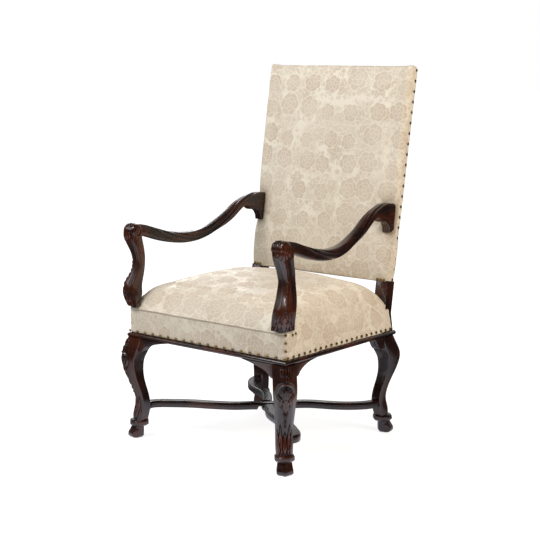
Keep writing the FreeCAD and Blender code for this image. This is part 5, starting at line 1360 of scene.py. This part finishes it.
def make_seat():
    """The domed seat: lofted, filled, drawn in at its nails and cut round the uprights."""
    sections = seat_sections()

    def pin(p):
        """Held along the skirt and under the piping of the front."""
        low = 1 - rise(p[:, 2], 0.352, 0.392)
        front = 1 - rise(p[:, 1] - ROW_SHIFT, -0.2700, -0.2500)
        edge = front * (1 - rise(np.abs(p[:, 2] - EDGE_HEIGHT / 1000), 0.006, 0.016))
        return np.maximum(low, edge)

    obj = voxel_cushion("seat_damask", sections, 0.005, pin)
    places = nail_places(*SEAT_NAILS)
    p = dimple(vertex_array(obj.data), places, 0.0011)
    mm = unput(p)
    x, y, z = np.abs(mm[:, 0]), mm[:, 1], mm[:, 2]

    foot = np.hypot(np.maximum(0, 282 - x), np.maximum(0, y + 236))
    pull = np.exp(-foot / 16) * (z > 421.5) * (y > -272)
    away = np.arctan2(y + 252, 300 - x)
    p[:, 2] -= 0.0045 * pull + 0.0012 * np.exp(-foot / 34) * np.cos(away * 9) * (z > 424)
    post = np.hypot(np.maximum(0, 236 - x), np.maximum(0, 262 - y))
    p[:, 2] -= 0.0025 * np.exp(-post / 18) * (z > 424)
    # Painted shade where the seat creases against the supports and the rear posts, and round the nails
    painted_shade = 0.5 * np.exp(-foot / 9) * (z > 421) + 0.45 * np.exp(-post / 12) * (z > 410) * (y < 275)
    painted_shade = painted_shade + nail_shade(p, places, 0.35, 0.0062)
    move_vertices(obj, p)

    vertex, face_normal = loop_data(obj.data)
    across = along_section(sections, np.column_stack([mm[:, 0], y, p[:, 2] * 1000]))
    crown = sections[:, -1, 1:]
    reach = arc_lengths(crown) + crown[0, 0]
    facing = np.clip(normal_array(obj.data)[:, 2], 0, 1)
    ahead = (y + facing * (np.interp(y, crown[:, 0], reach) - y)) / 1000
    u, v = across[vertex], ahead[vertex]
    corner_x, corner_z = p[vertex, 0], p[vertex, 2]
    front, rear = face_normal[:, 1] < -0.75, face_normal[:, 1] > 0.75
    v = np.where(front, COVER_FRONT_Y / 1000 - (EDGE_HEIGHT / 1000 - corner_z), v)
    v = np.where(rear, REAR_Y / 1000 + (0.45 - corner_z), v)
    write_cloth(obj, np.column_stack([np.where(front, corner_x, u), v]), np.clip(painted_shade, 0, 1))
    cut_round(obj, [cutter for sign in (-1, 1) for cutter in (
        box_cutter(sign, (237.2, 284.2), (-0.6, 60), (-90, 0.0), back_points),
        box_cutter(sign, (284.0, 340.0), (258, 330), (407.5, 560)))])
    finish_cushion(obj, ["seat_cover", "seat_stuffing"])


def back_sections():
    """Right half sections of the back, foot to top, as (x, height, forwards) in its own frame."""
    rows = np.array(BACK_ROWS)
    blend = smooth_through(rows[:, 0], rows[:, 1:])
    stations = np.unique(np.concatenate([np.linspace(0, 0.1, 14), np.linspace(0.1, 0.9, 60),
                                         np.linspace(0.9, 1, 14)]))
    sections = []
    for height, (crown,) in zip(stations * BACK_HEIGHT, blend(stations)):
        width = back_half_width(height)
        half = crowned_section(width, width, -34.0, -10.0, crown * 19, 0.72, (8, 10, 50))
        sections.append(np.column_stack([half[:, 0], np.full(len(half), height), half[:, 1]]))
    return np.array(sections)


def shape_back(b):
    """Moves the back's points, in its own frame, to ears, creases and pulls, and gives their soiling."""
    side, sign = np.abs(b[:, 0]), np.sign(b[:, 0])
    half_width = back_half_width(b[:, 2])
    front = 1 - rise(b[:, 1], -4, 14)
    flank = rise(side, half_width - 50, half_width)

    ear_rise, ear_spread, corner = 5.5, 1.5, 16.0
    ear = np.exp(-np.hypot(half_width - side, (BACK_HEIGHT - b[:, 2]) * 0.8) / 26)
    b[:, 2] += ear_rise * ear * (1 - rise(b[:, 1], 16, 30))
    b[:, 0] += sign * ear_spread * ear
    swell = np.sin(np.pi * np.clip(b[:, 2] / BACK_HEIGHT, 0, 1))
    b[:, 0] += sign * 4.0 * swell * flank * (1 - rise(b[:, 1], 4, 22))
    over = np.stack([np.abs(b[:, 0]) - (half_width + ear_spread - corner),
                     b[:, 2] - (BACK_HEIGHT + ear_rise - corner)])
    past = np.hypot(*over)
    turned = (over.min(axis=0) > 0) & (past > corner)
    back_in = over * (1 - corner / np.maximum(past, 1e-6)) * turned
    b[:, 0] -= sign * back_in[0]
    b[:, 2] -= back_in[1]

    arm_low, arm_high = 158.0, 246.0
    beyond = np.maximum(0, np.maximum(arm_low - b[:, 2], b[:, 2] - arm_high))
    reach = np.hypot(np.maximum(0, 248 - side), beyond)
    b[:, 1] += 7.0 * np.exp(-reach / 20) * front
    turn = np.arctan2(b[:, 2] - (arm_low + arm_high) / 2, 262 - side)
    crease = np.cos(turn * 11 + 0.6 * np.sin(reach / 9))
    b[:, 1] += 1.4 * crease * np.exp(-reach / 38) * (1 - np.exp(-reach / 8)) * front
    rim = rise(side, half_width - 6, half_width - 1)
    for level in (arm_low - 3, arm_high + 3):
        b[:, 0] -= sign * 1.3 * bump(b[:, 2] - level, 1.8) * rim
    b[:, 0] += sign * 3.5 * window(b[:, 2], 30, arm_low - 20, 30) * flank
    b[:, 1] += 1.0 * np.sin(b[:, 0] / 7.5) * np.exp(-b[:, 2] / 26) * front
    # Painted shade: darker in the creases round the arms and towards the back's foot
    return 0.85 * np.exp(-reach / 15) * front + 0.30 * np.exp(-b[:, 2] / 60) * front


def make_back():
    """The tall stuffed back in its damask, with its ears, creases and the pull at the arms."""
    sections = back_sections()

    def pin(p):
        """Held round the rear edges and along the foot."""
        b = to_back(p)
        return np.maximum(rise(b[:, 1], 12, 24), 1 - rise(b[:, 2], 4, 14))

    in_seat_frame = back_points(sections[..., [0, 2, 1]] * np.array([1, -1, 1]))
    obj = voxel_cushion("back_damask", in_seat_frame, 0.006, pin)
    places = nail_places(*BACK_NAILS)
    p = dimple(vertex_array(obj.data), places, 0.0010)
    b = to_back(p)
    painted_shade = shape_back(b) + nail_shade(p, places, 0.4, 0.0060)
    move_vertices(obj, put(back_points(b)))
    vertex, face_normal = loop_data(obj.data)
    u = along_section(sections, b[:, [0, 2, 1]] * np.array([1, 1, -1]))[vertex]
    depth, height = b[vertex, 1] / 1000, b[vertex, 2] / 1000
    v = np.where(face_normal[:, 2] > 0.7, BACK_HEIGHT / 1000 + np.maximum(0, depth + 0.006), height)
    write_cloth(obj, np.column_stack([u + 0.013, v + 0.71]), np.clip(painted_shade, 0, 1))
    finish_cushion(obj, ["back_cover", "back_stuffing"])
    sheet_back()


def sheet_back():
    """The outside back: damask stretched over the frame, turned in at its edges."""
    columns, heights = 90, np.linspace(PANEL_INSET, BACK_HEIGHT - PANEL_INSET, 110)
    outside, inside = [], []
    for h in heights:
        half = back_half_width(h) - PANEL_INSET
        x = np.linspace(-half, half, columns)
        edge = np.minimum(half - np.abs(x), np.minimum(h - PANEL_INSET, BACK_HEIGHT - PANEL_INSET - h))
        lift = 0.5 * np.sin(x / 17 + h / 60) * np.exp(-edge / 30) * (1 - np.exp(-edge / 3))
        depth = 34.2 + 2.2 * (1 - np.exp(-edge / 2.5)) + 1.6 * (1 - np.exp(-edge / 60)) + lift * 0.5
        for rows, y in ((outside, depth), (inside, np.full(columns, 33.0))):
            rows.append(back_points(np.column_stack([x, y, np.full(columns, h)])))
    total = len(heights) * columns
    index = np.arange(total).reshape(-1, columns)
    faces = np.stack([index[:-1, :-1], index[:-1, 1:], index[1:, 1:], index[1:, :-1]], axis=-1).reshape(-1, 4)
    rim = np.concatenate([index[0, :], index[1:, -1], index[-1, -2::-1], index[-2:0:-1, 0]])
    after = np.roll(rim, -1)
    walls = np.stack([rim, after, after + total, rim + total], axis=-1)
    points = put(np.concatenate([*outside, *inside]))
    skin = (points, np.vstack([faces[:, ::-1], faces + total, walls]), np.zeros(len(points)))
    obj = finish_piece("outside_back_damask", skin, damask_material(), ["back_panel"])
    vertex, _ = loop_data(obj.data)
    b = to_back(vertex_array(obj.data))[vertex] / 1000
    write_cloth(obj, np.column_stack([b[:, 0] + 0.4, b[:, 2] + 0.3]), np.zeros(len(obj.data.vertices)))


def make_piping():
    """Corded piping let into the seat's front edge."""
    half = side_x(COVER_FRONT_Y, COVER_INSET) - 8.5
    x = np.linspace(-half, half, 460)[:, None]
    t = np.linspace(0, 2 * math.pi, 20, endpoint=False)[None, :]
    radius = PIPING_RADIUS + 0.16 * np.sin(x * 1.9) * np.cos(t) + 0.12 * np.sin(x / 14)
    wander = 0.35 * np.sin(x / 41) + 0.2 * np.sin(x / 17)
    middle = COVER_FRONT_Y + 0.2
    points = np.stack([np.broadcast_to(x, radius.shape), middle + radius * np.cos(t),
                       EDGE_HEIGHT + wander + radius * np.sin(t)], axis=2)
    obj = finish_piece("front_piping", tube(put(points)), damask_material(), ["seat_welt"])
    vertex, _ = loop_data(obj.data)
    p = unput(vertex_array(obj.data)[vertex])
    angle = np.arctan2(p[:, 2] - EDGE_HEIGHT, p[:, 1] - middle)
    uv = np.column_stack([p[:, 0] / 1000, angle * 0.003 + 2.0])
    # A faint painted shade, even over the whole cord
    write_cloth(obj, uv, np.full(len(obj.data.vertices), 0.02))


def nail_skin(centre, outward, profile):
    """One nail, a little askew."""
    axis = outward + rng.normal(0, 0.045, 3)
    axis /= np.linalg.norm(axis)
    side = np.cross(axis, [0.3, 0.2, 1.0])
    side /= np.linalg.norm(side)
    other = np.cross(axis, side)
    angle = np.linspace(0, 2 * math.pi, 18, endpoint=False)[:, None]
    ring = np.cos(angle) * side + np.sin(angle) * other
    return tube(np.array([centre + axis * h + ring * r for r, h in profile]))


def make_nails():
    """Domed brass heads with a thin rim and a short shank."""
    head = bpy.context.scene.armchair_brass.diameter / 2
    profile = [(SHANK_RADIUS, -0.009), (SHANK_RADIUS, -0.0002)]
    profile += [(head * share, height) for share, height in NAIL_DOME]
    for node in (*SEAT_NAILS, "seat_nails_rear", *BACK_NAILS):
        places = nail_places(node)
        if node in ("seat_nails_left", "seat_nails_right"):
            sign = 1 if node.endswith("right") else -1
            places += [(put([sign * (side_x(y, COVER_INSET) + 0.4), y, z]), np.array([sign, 0.03, 0.0]))
                       for y, z in ((-243, 412), (-228, 414))]
        skins = []
        for centre, outward in places:
            if node == "seat_nails_corner":
                centre = centre + CORNER_SHIFTS[centre[0] > 0]
            if node in ("back_nails_left", "back_nails_right"):
                centre = centre + BACK_SIDE_SHIFT
            skins.append(nail_skin(centre, outward, profile))
        finish_piece("brass_" + node, gather(*skins), brass_material(), [node])


# Stage

def aim(holder, place, target):
    """Sets a camera or lamp at a place, looking at a target."""
    holder.location = place
    holder.rotation_mode = "QUATERNION"
    holder.rotation_quaternion = (Vector(target) - Vector(place)).to_track_quat("-Z", "Y")


def make_camera():
    """The photo's camera."""
    camera = bpy.data.cameras.new("camera")
    camera.sensor_fit = "HORIZONTAL"
    camera.sensor_width = 36
    camera.lens = 89.753
    camera.clip_start, camera.clip_end = 0.1, 60
    holder = new_object("camera", camera)
    aim(holder, (2.70827, -3.232765, 1.22031), (0.0173, -0.046355, 0.5382))
    bpy.context.scene.camera = holder


def mirror_ray(kit, path):
    """1 for a ray that left a polished face."""
    return kit.most(path["Is Glossy Ray"], path["Is Transmission Ray"])


def make_surround(stage):
    """White to the camera, soft sky to cloth, and a dark room with a paper backdrop to the varnish."""
    world = bpy.data.worlds.new("surround")
    bpy.context.scene.world = world
    world.use_nodes = True
    tree = world.node_tree
    tree.nodes.clear()
    kit = Nodes(tree)
    path = kit.add("ShaderNodeLightPath").outputs
    view = kit.add("ShaderNodeTexCoord").outputs["Generated"]
    towards = kit.measure("DOT_PRODUCT", view, (0.63, -0.76, 0.12))
    paper = kit.scale_shift(kit.ramp(towards, -0.30, -0.80), stage.paper - stage.room, stage.room)
    seen = kit.most(path["Is Camera Ray"], kit.product(mirror_ray(kit, path), paper))
    strength = kit.scale_shift(path["Is Diffuse Ray"], stage.sky, seen)
    white = kit.add("ShaderNodeBackground", {"Color": (1, 1, 1, 1), "Strength": strength})
    kit.add("ShaderNodeOutputWorld", {0: white.outputs[0]})


def make_floor(stage):
    """A pale floor that glows white to the camera and mirrors dark far in front of the chair."""
    size = 30.0
    corners = np.array([[-size, -size, 0], [size, -size, 0], [size, size, 0], [-size, size, 0]])
    floor = new_object("floor", mesh_from("floor", corners, [(0, 1, 2, 3)]))
    material, kit, shader, out = blank_material("pale_floor")
    path = kit.add("ShaderNodeLightPath").outputs
    mirrored_ray, place = mirror_ray(kit, path), kit.place()
    far = kit.product(kit.ramp(kit.measure("DISTANCE", place, (0.55, -0.75, 0)), 0.75, 1.45), mirrored_ray)
    near = kit.product(kit.less(1.0, far), mirrored_ray)
    own = kit.scale_shift(kit.ramp(kit.measure("LENGTH", place), 0.9, 2.6), 1 - stage.floor, stage.floor)
    glow = kit.add("ShaderNodeEmission", {
        "Color": kit.mix(path["Is Camera Ray"], (0.86, 0.86, 1.0), (1, 1, 1)),
        "Strength": kit.total((near, 0.95), (path["Is Camera Ray"], own)),
    })
    kit.feed(shader, {"Base Color": kit.mix(far, (0.50, 0.50, 0.50), (0.06, 0.06, 0.06)), "Roughness": 0.8,
                      "Specular IOR Level": 0.1})
    added = kit.add("ShaderNodeAddShader", {0: shader.outputs[0], 1: glow.outputs[0]})
    kit.feed(out, {0: added.outputs[0]})
    floor.data.materials.append(material)


def make_lamps(stage):
    for name, place, size, tall, share, target, tint in LAMPS:
        lamp = bpy.data.lights.new(name, "AREA")
        lamp.shape = "RECTANGLE"
        lamp.size, lamp.size_y = size, tall
        lamp.energy = stage.key * share
        lamp.color = tint
        obj = new_object(name, lamp)
        obj.visible_camera = False
        obj.visible_glossy = name != "fill"
        aim(obj, place, target)


def make_stage():
    bpy.context.scene.view_settings.view_transform = "Standard"
    stage = bpy.context.scene.armchair_stage
    make_camera()
    make_surround(stage)
    make_floor(stage)
    make_lamps(stage)


# The add-on's operators, panel and registration

def operator(suffix, label, text, work):
    """An operator class that runs one builder."""
    def execute(self, context):
        work()
        return {"FINISHED"}
    return type("ARMCHAIR_OT_" + suffix, (bpy.types.Operator,),
                {"bl_idname": "armchair." + suffix, "bl_label": label, "__doc__": text, "execute": execute})


STEPS = [
    operator("stage", "Stage", "Camera, floor, surround and lamps", make_stage),
    operator("legs", "Legs", "Carved front legs and the rear posts", make_legs),
    operator("stretchers", "Stretchers", "The serpentine X stretcher", make_stretchers),
    operator("rails", "Rails", "Seat rails, beads and the hidden frame", make_rails),
    operator("arms", "Arms", "Moulded arms with carved knuckles", make_arms),
    operator("supports", "Supports", "Carved S-shaped arm supports", make_supports),
    operator("lining", "Lining", "Webbing, hessian and the dust cover", make_lining),
    operator("seat", "Seat", "The stuffed seat in damask", make_seat),
    operator("back", "Back", "The stuffed back in damask", make_back),
    operator("piping", "Piping", "Piping on the seat's front edge", make_piping),
    operator("nails", "Nails", "Brass dome nails", make_nails),
]


class ARMCHAIR_PT_panel(bpy.types.Panel):
    """Lists the chair's settings and builders."""
    bl_label = "Armchair"
    bl_idname = "ARMCHAIR_PT_panel"
    bl_space_type = "VIEW_3D"
    bl_region_type = "UI"
    bl_category = "Armchair"

    def draw(self, context):
        for name, group in SETTINGS.items():
            settings = getattr(context.scene, name)
            for key in group.__annotations__:
                self.layout.prop(settings, key)
        for step in STEPS:
            self.layout.operator(step.bl_idname)


CLASSES = [*SETTINGS.values(), *STEPS, ARMCHAIR_PT_panel]


def register():
    for cls in CLASSES:
        bpy.utils.register_class(cls)
    for name, group in SETTINGS.items():
        setattr(bpy.types.Scene, name, bpy.props.PointerProperty(type=group))


def unregister():
    for name in SETTINGS:
        delattr(bpy.types.Scene, name)
    for cls in reversed(CLASSES):
        bpy.utils.unregister_class(cls)


def main():
    register()
    for step in STEPS:
        getattr(bpy.ops.armchair, step.bl_idname.split(".")[1])()


if __name__ == "__main__":
    main()
